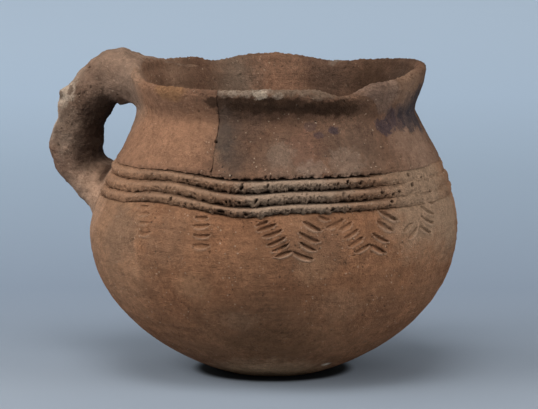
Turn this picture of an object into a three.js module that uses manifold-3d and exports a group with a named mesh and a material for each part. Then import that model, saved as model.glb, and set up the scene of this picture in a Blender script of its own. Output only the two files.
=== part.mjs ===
// Hand-built earthenware pitcher: a pinched base, flattened coils laid in laps, one luted handle.
// Millimetres, +Z up. The origin is the middle of the flat foot, and the handle points along -X.
// Azimuths are degrees round +Z from +X. The handle is at 180 and the refitted sherd faces 290.
import * as THREE from 'three';
import { mergeVertices } from 'three/addons/utils/BufferGeometryUtils.js';
import Module from 'manifold-3d';

const wasm = await Module();
wasm.setup();

// Outside of the pot, from the edge of the foot to the lip
const footRadius = 20;
const footSlope = 16.4;
const footCurveLength = 24.5;
const bellyRadius = 75;
const bellyHeight = 57.8;
const bellyCurveLengthBelow = 31;
const bellyCurveLengthAbove = 15.3;
const throatRadius = 55.9;
const throatHeight = 107.2;
const throatCurveLengthBelow = 1.8;
const throatCurveLengthAbove = 4.1;
const lipRadius = 60.4;
const lipCurveLength = 8.5;

// The neck stands a little to one side of the foot
const leanDistance = 1.9;
const leanAzimuth = 18;
const leanFromHeight = 55;
const leanOverHeight = 30;

// Clay thicknesses, and the clearance that parted pieces keep
const wallThickness = 5;
const neckThickness = 4.6;
const floorThickness = 7;
const clearanceGap = 0.3;

// Coils: how much higher a lap ends inside than outside, and where each kind of coil starts
const lapRiseHeight = 2.5;
const baseWallLength = 28;
const smoothedCoils = 6;
const neckCoils = 3;
const beltBottomHeight = 74;
const lowerCoilPitch = 4.1;
const middleCoilPitch = 4.8;
const upperCoilPitch = 4.4;
const coilReliefDepth = 1.2;
const neckLapHeight = 5;

// Swell of an exposed coil and of the neck's lower edge: share of its height, share of the relief
const coilSwell = [
  [0, 0.7],
  [0.25, 1],
  [0.6, 0.8],
];
const neckSwell = [
  [0, 0.6],
  [0.25, 0.8],
];

// The belt wanders: azimuth, half width in degrees, rise
const beltSwells = [
  [200, 35, -1.0],
  [247, 22, 2.0],
  [277, 17, -1.5],
];
const topLapWander = 0.5;
const upperLapWander = 0.8;

// The rim: mean height, its tilt and saddle, and its local rises, dips and one chip
const rimHeight = 121.9;
const rimTiltHeight = 1.2;
const rimSaddleHeight = 1.7;
const rimSwells = [
  [30, 60, 2.3],
  [81, 12, -0.6],
  [110, 24, 2.2],
  [135, 12, -1.6],
  [180, 20, 1.8],
  [222, 25, -1.7],
  [280, 30, 1.3],
  [316, 15, -4.4],
  [338, 16, -0.9],
];
const rimSwellHeight = 4.4;
const lipRoundingHeight = 3;

// Rounding of the lip: share of its height below the top, share of the neck's thickness
const lipRound = [
  [1, 0],
  [0.35, 0.12],
  [0, 0.45],
  [0.2, 0.8],
  [0.8, 1],
];

// Refitted sherd: azimuth of its two broken edges at the belt, midway and at the rim
const crackAzimuths = [264.8, 261.4, 263.8];
const breakAzimuths = [327, 347, 317.6];

// Handle: a thick flattened roll with a tenon through the wall. Its foot and its tenon sit below the
// lowest lap of the belt by their drops, and its reach is how far it stands off the wall's chord.
const handleAzimuth = 180;
const handleReachLength = 21.8;
const handleRootDropHeight = 3.4;
const handleFootDropHeight = 1;
const handleFootSinkDepth = 2;
const handleThickness = 20;
const handleWidth = 24;
const handleSquareness = 2.6;
const tenonRadius = 2.9;
const tenonDropHeight = 4.2;
const tenonRootDepth = 2;
const bodyWadThickness = 2.4;
const bodyWadLength = 7;
const rimWadThickness = 1.6;
const rimWadLength = 6.5;
const wadEdgeThickness = 0.9;

// Spine of the handle from the rim down to the wall: share of the reach, share of the height from
// foot to root, then the shares of the thickness and of the width that the lumpy roll has there
const spinePlaces = [
  [0, 1, 0.81, 1.02],
  [0.53, 1.01, 1.02, 1.02],
  [0.77, 0.94, 0.97, 1],
  [0.99, 0.705, 0.99, 1],
  [0.97, 0.565, 0.9, 0.96],
  [0.9, 0.36, 1, 1.02],
  [0.65, 0.18, 0.92, 0.97],
  [0.19, 0.05, 0.8, 0.9],
];
const footThicknessShare = 0.84;
const footWidthShare = 0.88;

// Fineness of the facets
const roundSteps = 56;
const handleSteps = 22;
const handleSides = 16;
const tenonSides = 16;

const clays = {
  base: { color: 0x6b4c39, roughness: 0.92, metalness: 0 },
  body: { color: 0x7c5a44, roughness: 0.9, metalness: 0 },
  belt: { color: 0x7a624f, roughness: 0.92, metalness: 0 },
  neck: { color: 0x93705a, roughness: 0.9, metalness: 0 },
  sherd: { color: 0x6e5c50, roughness: 0.9, metalness: 0 },
  handle: { color: 0x856654, roughness: 0.93, metalness: 0 },
};

const radians = THREE.MathUtils.degToRad;
const lerp = THREE.MathUtils.lerp;
const rimOutlineHeight = rimHeight + rimSwellHeight;

// Outline of the outside as radius and height
const footEdge = new THREE.Vector2(footRadius, 0);
const belly = new THREE.Vector2(bellyRadius, bellyHeight);
const throat = new THREE.Vector2(throatRadius, throatHeight);
const lip = new THREE.Vector2(lipRadius, rimOutlineHeight);
const outline = new THREE.CurvePath();
outline.add(new THREE.CubicBezierCurve(
  footEdge,
  new THREE.Vector2(
    footRadius + footCurveLength * Math.cos(radians(footSlope)),
    footCurveLength * Math.sin(radians(footSlope)),
  ),
  new THREE.Vector2(bellyRadius, bellyHeight - bellyCurveLengthBelow),
  belly,
));
outline.add(new THREE.CubicBezierCurve(
  belly,
  new THREE.Vector2(bellyRadius, bellyHeight + bellyCurveLengthAbove),
  new THREE.Vector2(throatRadius, throatHeight - throatCurveLengthBelow),
  throat,
));
outline.add(new THREE.CubicBezierCurve(
  throat,
  new THREE.Vector2(throatRadius, throatHeight + throatCurveLengthAbove),
  new THREE.Vector2(lipRadius, rimOutlineHeight - lipCurveLength),
  lip,
));
const outlineLength = outline.getLength();

// Arc length from the foot's edge at which the outline reaches a height
function arcAt(height) {
  let low = 0;
  let high = outlineLength;
  while (high - low > 1e-4) {
    const middle = (low + high) / 2;
    if (outline.getPoint(middle / outlineLength).y < height) low = middle;
    else high = middle;
  }
  return low;
}

// Radius and height at an arc length, moved into the clay by depth along the outline's normal
function outlinePoint(arc, depth) {
  const along = arc / outlineLength;
  const point = outline.getPoint(along);
  const tangent = outline.getTangent(along);
  return new THREE.Vector2(point.x - tangent.y * depth, point.y + tangent.x * depth);
}

function wallPoint(arc, depth, azimuth) {
  const { x: radius, y: height } = outlinePoint(arc, depth);
  const leanToHeight = leanFromHeight + leanOverHeight;
  const lean = leanDistance * THREE.MathUtils.smoothstep(height, leanFromHeight, leanToHeight);
  return new THREE.Vector3(
    radius * Math.cos(radians(azimuth)) + lean * Math.cos(radians(leanAzimuth)),
    radius * Math.sin(radians(azimuth)) + lean * Math.sin(radians(leanAzimuth)),
    height,
  );
}

// Sum of smooth local rises at an azimuth
function swelling(swells, azimuth) {
  let total = 0;
  for (const [at, halfWidth, rise] of swells) {
    const away = Math.abs(THREE.MathUtils.euclideanModulo(azimuth - at + 180, 360) - 180);
    if (away < halfWidth) total += rise * (1 + Math.cos(Math.PI * away / halfWidth)) / 2;
  }
  return total;
}

function rimArc(azimuth) {
  const turn = radians(azimuth);
  const height = rimHeight + rimTiltHeight * Math.sin(turn) + rimSaddleHeight * Math.cos(2 * turn);
  return arcAt(height + swelling(rimSwells, azimuth));
}

// Laps of the belt, from the lowest to the lower edge of the neck
const lapHeights = [beltBottomHeight];
for (const pitch of [lowerCoilPitch, middleCoilPitch, upperCoilPitch]) {
  lapHeights.push(lapHeights.at(-1) + pitch);
}
const lapWanders = [1, 1, upperLapWander, topLapWander];

function lapArc(index, azimuth) {
  return arcAt(lapHeights[index] + lapWanders[index] * swelling(beltSwells, azimuth));
}

// Hidden laps share the smoothed wall evenly from the base to the belt
function bodyLapArc(index, azimuth) {
  return lerp(baseWallLength, lapArc(0, azimuth), index / smoothedCoils);
}

// Neck laps share the height from the belt to the rim evenly
function neckLapArc(index, azimuth) {
  return lerp(lapArc(3, azimuth), rimArc(azimuth), index / neckCoils);
}

// Half of the parting between two lapped coils, measured along the wall
function lapGap(thickness) {
  return clearanceGap / 2 * Math.hypot(1, lapRiseHeight / thickness);
}

function solidFrom(positions, indices) {
  const geometry = new THREE.BufferGeometry();
  geometry.setAttribute('position', new THREE.Float32BufferAttribute(positions, 3));
  geometry.setIndex(indices);
  return geometry;
}

// Closed skin over rows of points; every row is one section, closed on itself
function skin(rows, closed) {
  const sides = rows[0].length;
  const positions = rows.flat().flatMap((point) => point.toArray());
  const indices = [];
  const spans = closed ? rows.length : rows.length - 1;
  for (let row = 0; row < spans; row += 1) {
    const here = row * sides;
    const there = ((row + 1) % rows.length) * sides;
    for (let side = 0; side < sides; side += 1) {
      const next = (side + 1) % sides;
      indices.push(here + side, there + side, there + next);
      indices.push(here + side, there + next, here + next);
    }
  }
  if (!closed) {
    const last = (rows.length - 1) * sides;
    for (let side = 1; side < sides - 1; side += 1) {
      indices.push(0, side, side + 1);
      indices.push(last, last + side + 1, last + side);
    }
  }
  return solidFrom(positions, indices);
}

// A band of clay all round the pot, from a section given as arc length and depth
function ring(sectionAt) {
  const rows = [];
  for (let step = 0; step < roundSteps; step += 1) {
    const azimuth = step * 360 / roundSteps;
    rows.push(sectionAt(azimuth).map(([arc, depth]) => wallPoint(arc, depth, azimuth)));
  }
  return skin(rows, true);
}

function toManifold(geometry) {
  const bare = geometry.clone();
  bare.deleteAttribute('normal');
  bare.deleteAttribute('uv');
  const merged = mergeVertices(bare);
  const mesh = new wasm.Mesh({
    numProp: 3,
    vertProperties: new Float32Array(merged.attributes.position.array),
    triVerts: new Uint32Array(merged.index.array),
  });
  return new wasm.Manifold(mesh);
}

function fromManifold(solid) {
  const mesh = solid.getMesh();
  return solidFrom(Array.from(mesh.vertProperties), Array.from(mesh.triVerts));
}

const pitcher = new THREE.Group();

function addPiece(name, geometry, clay) {
  const faceted = geometry.toNonIndexed();
  faceted.computeVertexNormals();
  const piece = new THREE.Mesh(faceted, new THREE.MeshStandardMaterial(clay));
  piece.name = name;
  pitcher.add(piece);
}

// Base: pinched bowl with a thick floor, parted from the first coil along its lap
function baseBowl() {
  const gap = lapGap(wallThickness);
  const profile = [new THREE.Vector2(0, 0)];
  const outsideSteps = 7;
  for (let step = 0; step <= outsideSteps; step += 1) {
    profile.push(outlinePoint((baseWallLength - gap) * step / outsideSteps, 0));
  }
  const insideSteps = 7;
  for (let step = insideSteps; step >= 0; step -= 1) {
    const share = step / insideSteps;
    const arc = (baseWallLength + lapRiseHeight - gap) * share;
    profile.push(outlinePoint(arc, lerp(floorThickness, wallThickness, share)));
  }
  profile.push(new THREE.Vector2(0, profile.at(-1).y));
  return new THREE.LatheGeometry(profile, roundSteps).rotateX(Math.PI / 2);
}

// Section of a smoothed coil between two laps
function coilSection(bottom, top, thickness) {
  const gap = lapGap(thickness);
  const section = [];
  const steps = 3;
  for (let step = 0; step <= steps; step += 1) {
    section.push([lerp(bottom + gap, top - gap, step / steps), 0]);
  }
  for (let step = steps; step >= 0; step -= 1) {
    section.push([lerp(bottom + gap, top - gap, step / steps) + lapRiseHeight, thickness]);
  }
  return section;
}

// Section of an exposed coil: its lower edge stands proud and shades the lap below
function exposedSection(bottom, top) {
  const gap = lapGap(wallThickness);
  const low = bottom + gap;
  const high = top - gap;
  return [
    [low, 0],
    ...coilSwell.map(([up, out]) => [lerp(low, high, up), -out * coilReliefDepth]),
    [high, 0],
    [high + lapRiseHeight, wallThickness],
    [low + lapRiseHeight, wallThickness],
  ];
}

// Lower edge of the neck, proud like the exposed coils, as arc length and depth
function neckEdge(bottom) {
  return [
    [bottom, 0],
    ...neckSwell.map(([up, out]) => [bottom + up * neckLapHeight, -out * coilReliefDepth]),
    [bottom + neckLapHeight, 0],
  ];
}

// Rounded lip, from its outer shoulder over the top to the inner face
function lipSection(top) {
  return lipRound.map(([down, through]) => [top - down * lipRoundingHeight, through * neckThickness]);
}

// The whole neck in one section, which the sherd is broken from
function neckSection(azimuth) {
  const bottom = lapArc(3, azimuth) + lapGap(neckThickness);
  const top = rimArc(azimuth);
  const outside = [0.3, 0.5, 0.7];
  const inside = [0.75, 0.5, 0.25];
  return [
    ...neckEdge(bottom),
    ...outside.map((share) => [lerp(bottom, top, share), 0]),
    ...lipSection(top),
    ...inside.map((share) => [lerp(bottom + lapRiseHeight, top, share), neckThickness]),
    [bottom + lapRiseHeight, neckThickness],
  ];
}

function firstNeckSection(azimuth) {
  const gap = lapGap(neckThickness);
  const bottom = neckLapArc(0, azimuth) + gap;
  const top = neckLapArc(1, azimuth) - gap;
  return [
    ...neckEdge(bottom),
    [lerp(bottom + neckLapHeight, top, 0.5), 0],
    [top, 0],
    [top + lapRiseHeight, neckThickness],
    [lerp(bottom, top, 0.5) + lapRiseHeight, neckThickness],
    [bottom + lapRiseHeight, neckThickness],
  ];
}

function rimSection(azimuth) {
  const gap = lapGap(neckThickness);
  const bottom = neckLapArc(neckCoils - 1, azimuth) + gap;
  const top = rimArc(azimuth);
  return [
    [bottom, 0],
    [lerp(bottom, top - lipRoundingHeight, 0.5), 0],
    ...lipSection(top),
    [lerp(bottom + lapRiseHeight, top, 0.4), neckThickness],
    [bottom + lapRiseHeight, neckThickness],
  ];
}

// Azimuth on a broken edge at a share of the neck's height
function edgeAzimuth([low, middle, high], share) {
  return lerp(lerp(low, middle, share), lerp(middle, high, share), share);
}

// Block round the sherd, wider on both broken edges by a spread
function sherdBlock(spread) {
  const turn = THREE.MathUtils.radToDeg(spread / throatRadius);
  const shares = [-0.2, 0, 0.2, 0.4, 0.6, 0.8, 1, 1.2];
  const across = 10;
  const front = -2 * coilReliefDepth;
  const back = 2 * wallThickness;
  const rows = shares.map((share) => {
    const from = edgeAzimuth(crackAzimuths, share) - turn;
    const to = edgeAzimuth(breakAzimuths, share) + turn;
    const row = [];
    for (const [depth, order] of [[front, 1], [back, -1]]) {
      for (let step = 0; step <= across; step += 1) {
        const azimuth = lerp(from, to, order > 0 ? step / across : 1 - step / across);
        const arc = lerp(lapArc(3, azimuth), rimArc(azimuth), share);
        row.push(wallPoint(Math.min(arc, outlineLength), depth, azimuth));
      }
    }
    return row;
  });
  return skin(rows.reverse(), false);
}

// Handle: spine in the plane of its azimuth, drawn as if it pointed along +X and turned afterwards
const rimRootHeight = rimHeight - handleRootDropHeight;
const handleFootHeight = beltBottomHeight - handleFootDropHeight;
const tenonHeight = beltBottomHeight - tenonDropHeight;
const shoulderRadius = outlinePoint(arcAt(handleFootHeight), 0).x;
const spinePoints = spinePlaces.map(([out, up]) => new THREE.Vector3(
  lerp(shoulderRadius, throatRadius, up) + out * handleReachLength,
  0,
  lerp(handleFootHeight, rimRootHeight, up),
));
spinePoints.push(new THREE.Vector3(
  shoulderRadius - wallThickness,
  0,
  handleFootHeight - handleFootSinkDepth,
));
const spine = new THREE.CatmullRomCurve3(spinePoints);
const spineLength = spine.getLength();

// Half thickness and half width of the roll along the same knots
const girths = spinePlaces.map(([, , thick, wide]) => [thick, wide]);
girths.push([footThicknessShare, footWidthShare]);

function girthAt(along) {
  const place = along * (girths.length - 1);
  const knot = Math.min(Math.floor(place), girths.length - 2);
  const share = THREE.MathUtils.smoothstep(place - knot, 0, 1);
  return {
    across: lerp(girths[knot][0], girths[knot + 1][0], share) * handleThickness / 2,
    wide: lerp(girths[knot][1], girths[knot + 1][1], share) * handleWidth / 2,
  };
}

// Squared oval across the handle at a step along its spine, larger all round by a spread
function handleRing(step, spread) {
  const along = spine.getUtoTmapping(step / handleSteps);
  const centre = spine.getPoint(along);
  const tangent = spine.getTangent(along);
  const outward = new THREE.Vector3(tangent.z, 0, -tangent.x);
  const half = girthAt(along);
  const points = [];
  for (let side = 0; side < handleSides; side += 1) {
    const turn = side * 2 * Math.PI / handleSides;
    const bulge = (value) => Math.sign(value) * Math.abs(value) ** (2 / handleSquareness);
    const across = (half.across + spread) * bulge(Math.cos(turn));
    const point = centre.clone().addScaledVector(outward, -across);
    point.y += (half.wide + spread) * bulge(Math.sin(turn));
    points.push(point);
  }
  return points;
}

function turned(geometry) {
  return geometry.rotateZ(radians(handleAzimuth));
}

function handleRoll(spread) {
  const rows = [];
  for (let step = 0; step <= handleSteps; step += 1) {
    rows.push(handleRing(step, spread));
  }
  return turned(skin(rows, false));
}

// Collar of clay round the handle from one end of its spine, thickest at the wall
function collar(fromFoot, length, thickness) {
  const steps = Math.ceil(handleSteps * length / spineLength);
  const outer = [];
  const inner = [];
  for (let count = 0; count <= steps; count += 1) {
    const step = fromFoot ? handleSteps - count : count;
    outer.push(handleRing(step, clearanceGap + lerp(thickness, wadEdgeThickness, count / steps)));
    inner.push(handleRing(step, clearanceGap));
  }
  const loop = [...outer, ...inner.reverse()];
  return skin(fromFoot ? loop.reverse() : loop, true);
}

// Arc lengths and depths at even steps along a stretch of the wall
function stretch(from, to, depth) {
  const steps = 6;
  const places = [];
  for (let step = 0; step <= steps; step += 1) {
    places.push([lerp(from, to, step / steps), depth]);
  }
  return places;
}

// Space held by the wall near the handle, larger than the wall by the clearance
function wallSpace() {
  const depth = wallThickness + handleThickness / 2;
  return ring((azimuth) => {
    const from = bodyLapArc(smoothedCoils - 2, azimuth);
    const to = Math.min(rimArc(azimuth) + clearanceGap, outlineLength);
    const beltFrom = lapArc(0, azimuth) - clearanceGap;
    const beltTo = lapArc(3, azimuth) + neckLapHeight;
    return [
      ...stretch(from, beltFrom, -clearanceGap),
      ...stretch(beltFrom, beltTo, -clearanceGap - coilReliefDepth),
      ...stretch(beltTo, to, -clearanceGap),
      ...stretch(from, to, depth).reverse(),
    ];
  });
}

function tenon(spread) {
  const wallRadius = outlinePoint(arcAt(tenonHeight), 0).x;
  const outer = wallRadius + tenonRootDepth;
  const inner = wallRadius - wallThickness - spread;
  const length = outer - inner;
  const pin = new THREE.CylinderGeometry(tenonRadius + spread, tenonRadius + spread, length, tenonSides);
  pin.rotateZ(Math.PI / 2);
  pin.translate((outer + inner) / 2, 0, tenonHeight);
  return turned(pin);
}

addPiece('base_bowl', baseBowl(), clays.base);

for (let coil = 0; coil < smoothedCoils - 1; coil += 1) {
  const band = ring((azimuth) => coilSection(
    bodyLapArc(coil, azimuth),
    bodyLapArc(coil + 1, azimuth),
    wallThickness,
  ));
  addPiece(`body_coil_${coil + 1}`, band, clays.body);
}

const shoulderBand = toManifold(ring((azimuth) => coilSection(
  bodyLapArc(smoothedCoils - 1, azimuth),
  lapArc(0, azimuth),
  wallThickness,
)));
const tenonHole = toManifold(tenon(clearanceGap));
addPiece('shoulder_coil', fromManifold(shoulderBand.subtract(tenonHole)), clays.body);

['lower', 'middle', 'upper'].forEach((place, index) => {
  const band = ring((azimuth) => exposedSection(lapArc(index, azimuth), lapArc(index + 1, azimuth)));
  addPiece(`exposed_coil_${place}`, band, clays.belt);
});

const sherdSpace = toManifold(sherdBlock(clearanceGap));
const firstNeckBand = ring(firstNeckSection);
addPiece('neck_coil_1', fromManifold(toManifold(firstNeckBand).subtract(sherdSpace)), clays.neck);
const secondNeckBand = ring((azimuth) => coilSection(
  neckLapArc(1, azimuth),
  neckLapArc(2, azimuth),
  neckThickness,
));
addPiece('neck_coil_2', fromManifold(toManifold(secondNeckBand).subtract(sherdSpace)), clays.neck);
addPiece('rim_coil', fromManifold(toManifold(ring(rimSection)).subtract(sherdSpace)), clays.neck);
const sherd = toManifold(ring(neckSection)).intersect(toManifold(sherdBlock(0)));
addPiece('neck_sherd', fromManifold(sherd), clays.sherd);

const heldByWall = toManifold(wallSpace());
const roll = toManifold(handleRoll(0)).subtract(heldByWall).add(toManifold(tenon(0)));
addPiece('handle', fromManifold(roll), clays.handle);

// Wads fill what the wall and the roll leave free
const taken = heldByWall.add(toManifold(handleRoll(clearanceGap)));
const bodyWad = turned(collar(true, bodyWadLength + wallThickness, bodyWadThickness));
addPiece('handle_body_wad', fromManifold(toManifold(bodyWad).subtract(taken)), clays.handle);
const rimWad = turned(collar(false, rimWadLength + neckThickness, rimWadThickness));
addPiece('handle_rim_wad', fromManifold(toManifold(rimWad).subtract(taken)), clays.handle);

export default pitcher;
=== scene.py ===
import math

import bpy
import numpy as np
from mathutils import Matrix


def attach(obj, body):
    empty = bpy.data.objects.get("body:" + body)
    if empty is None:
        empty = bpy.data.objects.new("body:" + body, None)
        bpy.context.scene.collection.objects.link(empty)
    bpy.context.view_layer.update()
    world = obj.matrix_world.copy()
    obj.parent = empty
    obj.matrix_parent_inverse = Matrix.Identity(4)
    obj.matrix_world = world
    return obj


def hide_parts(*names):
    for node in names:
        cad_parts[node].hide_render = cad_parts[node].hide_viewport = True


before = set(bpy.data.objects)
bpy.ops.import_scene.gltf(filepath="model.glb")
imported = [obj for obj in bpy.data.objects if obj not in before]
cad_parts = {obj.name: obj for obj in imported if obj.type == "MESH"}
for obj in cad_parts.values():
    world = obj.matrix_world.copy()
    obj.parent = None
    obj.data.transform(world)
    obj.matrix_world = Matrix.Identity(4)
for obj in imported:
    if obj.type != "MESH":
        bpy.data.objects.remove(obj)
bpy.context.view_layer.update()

scene = bpy.context.scene
scene.view_settings.view_transform = "Standard"

# Camera
# The photograph looks 18 degrees round from the front and 8 degrees down, with a long lens.
view_turn = math.radians(18)
view_rise = math.radians(8)
view_distance = 1.6
view_target = np.array([-0.00166, -0.00054, 0.06766])
view_back = np.array([
    math.sin(view_turn) * math.cos(view_rise),
    -math.cos(view_turn) * math.cos(view_rise),
    math.sin(view_rise),
])
camera_data = bpy.data.cameras.new("camera")
camera_data.sensor_width = 36
camera_data.lens = 262
camera = bpy.data.objects.new("camera", camera_data)
scene.collection.objects.link(camera)
camera.location = view_target + view_distance * view_back
camera.rotation_euler = (math.pi / 2 - view_rise, 0, view_turn)
scene.camera = camera

# Pinched base and smoothed lower wall
# The bottom is pinched from one lump and the lower wall is built of flattened coils, all scraped
# smooth outside until their joins vanish. It is turned here from its outline by a node tree.
mm = 0.001
foot_radius = 20
foot_slope = math.radians(16.4)
foot_fullness = 24.5
belly_radius = 75
belly_height = 57.8
belly_fullness_below = 31
belly_fullness_above = 15.3
throat_radius = 55.9
throat_height = 107.2
throat_ease_below = 1.8
throat_ease_above = 4.1
lip_radius = 60.4
lip_height = 126.3
lip_ease = 8.5
lean_across = 1.9
lean_azimuth = math.radians(18)
lean_from_height = 55
lean_over_height = 30
wall_thickness = 5
neck_thickness = 4.6
floor_thickness = 7
lap_rise = 2.5


def bezier(start, first, second, end, count=300):
    share = np.linspace(0, 1, count)[:, None]
    start, first, second, end = (np.array(point, float) for point in (start, first, second, end))
    rest = 1 - share
    return rest**3 * start + 3 * rest**2 * share * first + 3 * rest * share**2 * second + share**3 * end


outline = np.vstack([
    np.stack([np.linspace(0, foot_radius, 60), np.zeros(60)], 1),
    bezier(
        (foot_radius, 0),
        (
            foot_radius + foot_fullness * math.cos(foot_slope),
            foot_fullness * math.sin(foot_slope),
        ),
        (belly_radius, belly_height - belly_fullness_below),
        (belly_radius, belly_height),
    )[1:],
    bezier(
        (belly_radius, belly_height),
        (belly_radius, belly_height + belly_fullness_above),
        (throat_radius, throat_height - throat_ease_below),
        (throat_radius, throat_height),
    )[1:],
    bezier(
        (throat_radius, throat_height),
        (throat_radius, throat_height + throat_ease_above),
        (lip_radius, lip_height - lip_ease),
        (lip_radius, lip_height),
    )[1:],
])
outline_arcs = np.concatenate([[0], np.cumsum(np.hypot(*np.diff(outline, axis=0).T))]) - foot_radius
outline_tangents = np.gradient(outline, outline_arcs, axis=0)
outline_tangents /= np.linalg.norm(outline_tangents, axis=1)[:, None]


def arc_at(height):
    risen = outline_arcs >= 0
    return np.interp(height, outline[risen, 1], outline_arcs[risen])


def outline_point(arc, depth):
    radius, height, run, rise = (
        np.interp(arc, outline_arcs, column)
        for column in (*outline.T, *outline_tangents.T)
    )
    return radius - rise * depth, height + run * depth, rise, -run


def smooth_step(value):
    value = np.clip(value, 0, 1)
    return value * value * (3 - 2 * value)


# Place and outward direction on the wall, from arc length, depth into the clay and azimuth.
def wall_point(arc, depth, azimuth):
    radius, height, out, up = outline_point(arc, depth)
    lean = lean_across * smooth_step((height - lean_from_height) / lean_over_height)
    turn = np.radians(azimuth)
    place = np.stack([
        radius * np.cos(turn) + lean * math.cos(lean_azimuth),
        radius * np.sin(turn) + lean * math.sin(lean_azimuth),
        height + 0 * turn,
    ], -1)
    outward = np.stack([out * np.cos(turn), out * np.sin(turn), up + 0 * turn], -1)
    return place * mm, outward


# Node with its inputs, each a value or the output of another node, and its settings.
def add_node(tree, kind, inputs=None, **settings):
    node = tree.nodes.new(kind)
    for name, value in settings.items():
        setattr(node, name, value)
    for name, value in (inputs or {}).items():
        if isinstance(value, bpy.types.NodeSocket):
            tree.links.new(value, node.inputs[name])
        else:
            node.inputs[name].default_value = value
    return node


def calculate(tree, operation, first, second=0.0, third=0.0):
    node = add_node(tree, "ShaderNodeMath", {0: first, 1: second, 2: third}, operation=operation)
    return node.outputs[0]


def product(tree, first, *others):
    for other in others:
        first = calculate(tree, "MULTIPLY", first, other)
    return first


def vector_math(tree, operation, *vectors):
    node = add_node(tree, "ShaderNodeVectorMath", dict(enumerate(vectors)), operation=operation)
    return node.outputs["Value" if operation in ("LENGTH", "DOT_PRODUCT") else "Vector"]


def scaled(tree, vector, amount):
    node = add_node(tree, "ShaderNodeVectorMath", {0: vector, "Scale": amount}, operation="SCALE")
    return node.outputs[0]


def parts(tree, vector):
    return add_node(tree, "ShaderNodeSeparateXYZ", {0: vector}).outputs


def spread(tree, value, low, high, to_low=0.0, to_high=1.0, ease="LINEAR"):
    return add_node(tree, "ShaderNodeMapRange", {
        "Value": value,
        "From Min": low,
        "From Max": high,
        "To Min": to_low,
        "To Max": to_high,
    }, interpolation_type=ease).outputs[0]


# Place shifted by a fine noise, which makes the cells of pits and specks ragged.
def torn(tree, place, scale, shift):
    cloud = add_node(tree, "ShaderNodeTexNoise", {"Vector": place, "Scale": scale, "Detail": 1.0})
    return vector_math(tree, "MULTIPLY_ADD", cloud.outputs["Color"], (shift, shift, shift), place)


# Values carried by the points under a label, read and kept by a geometry tree.
def read_points(tree, label, kind="FLOAT"):
    node = add_node(tree, "GeometryNodeInputNamedAttribute", {"Name": label}, data_type=kind)
    return node.outputs[0]


def keep_points(tree, geometry, label, value, kind="FLOAT"):
    return add_node(tree, "GeometryNodeStoreNamedAttribute", {
        "Geometry": geometry,
        "Name": label,
        "Value": value,
    }, data_type=kind, domain="POINT").outputs[0]


# Empty geometry tree with named inputs: name, socket type, default value.
def geometry_tree(name, inputs):
    tree = bpy.data.node_groups.new(name, "GeometryNodeTree")
    tree.is_modifier = True
    tree.interface.new_socket(name="Geometry", in_out="OUTPUT", socket_type="NodeSocketGeometry")
    tree.interface.new_socket(name="Geometry", in_out="INPUT", socket_type="NodeSocketGeometry")
    for label, kind, value in inputs:
        socket = tree.interface.new_socket(name=label, in_out="INPUT", socket_type=kind)
        if value is not None:
            socket.default_value = value
    return tree, tree.nodes.new("NodeGroupInput").outputs


def finish_tree(tree, geometry, clay):
    whole = add_node(tree, "GeometryNodeRealizeInstances", {"Geometry": geometry})
    dressed = add_node(
        tree, "GeometryNodeSetMaterial", {"Geometry": whole.outputs[0], "Material": clay},
    )
    add_node(tree, "NodeGroupOutput", {"Geometry": dressed.outputs[0]})


# Runs a tree on a piece and keeps the result as its plain mesh.
def shape_by(piece, tree, values):
    modifier = piece.modifiers.new(tree.name, "NODES")
    modifier.node_group = tree
    for item in tree.interface.items_tree:
        if item.in_out == "INPUT" and item.name in values:
            modifier[item.identifier] = values[item.name]
    graph = bpy.context.evaluated_depsgraph_get()
    mesh = bpy.data.meshes.new_from_object(
        piece.evaluated_get(graph), preserve_all_data_layers=True, depsgraph=graph,
    )
    piece.modifiers.remove(modifier)
    piece.data = mesh
    mesh.name = piece.name


# Mesh object from points in metres. Each point may carry the way it faces, for later relief.
def new_piece(name, points, edges, faces, outward=None):
    mesh = bpy.data.meshes.new(name)
    mesh.from_pydata(points, edges, faces)
    if outward is not None:
        field = mesh.attributes.new("outward", "FLOAT_VECTOR", "POINT")
        field.data.foreach_set("vector", np.asarray(outward, np.float32).reshape(-1))
    piece = bpy.data.objects.new(name, mesh)
    scene.collection.objects.link(piece)
    return piece


# One number for every point of a piece, kept under a label.
def add_field(piece, label, values):
    field = piece.data.attributes.new(label, "FLOAT", "POINT")
    field.data.foreach_set("value", np.asarray(values, np.float32).reshape(-1))


# Turned wall: each point of the profile, with the way it faces, carried round the axis.
turned_tree, wanted = geometry_tree("turned_wall", [
    ("Steps Round", "NodeSocketInt", 480),
    ("Clay", "NodeSocketMaterial", None),
])
profile_size = add_node(turned_tree, "GeometryNodeAttributeDomainSize", {
    "Geometry": wanted["Geometry"],
}, component="MESH").outputs["Point Count"]
sheet = add_node(turned_tree, "GeometryNodeMeshGrid", {
    "Size X": 1.0,
    "Size Y": 1.0,
    "Vertices X": wanted["Steps Round"],
    "Vertices Y": profile_size,
})
sheet_place = parts(turned_tree, add_node(turned_tree, "GeometryNodeInputPosition").outputs[0])
share_up = calculate(turned_tree, "ADD", sheet_place["Y"], 0.5)
turn = product(turned_tree, calculate(turned_tree, "ADD", sheet_place["X"], 0.5), 2 * math.pi)
last_point = calculate(turned_tree, "SUBTRACT", profile_size, 1.0)
point_up = calculate(turned_tree, "ROUND", product(turned_tree, share_up, last_point))


def carried_round(field):
    found = add_node(turned_tree, "GeometryNodeSampleIndex", {
        "Geometry": wanted["Geometry"],
        "Value": field,
        "Index": point_up,
    }, data_type="FLOAT_VECTOR", domain="POINT").outputs[0]
    return add_node(turned_tree, "ShaderNodeVectorRotate", {
        "Vector": found,
        "Angle": turn,
    }, rotation_type="Z_AXIS").outputs[0]


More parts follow.
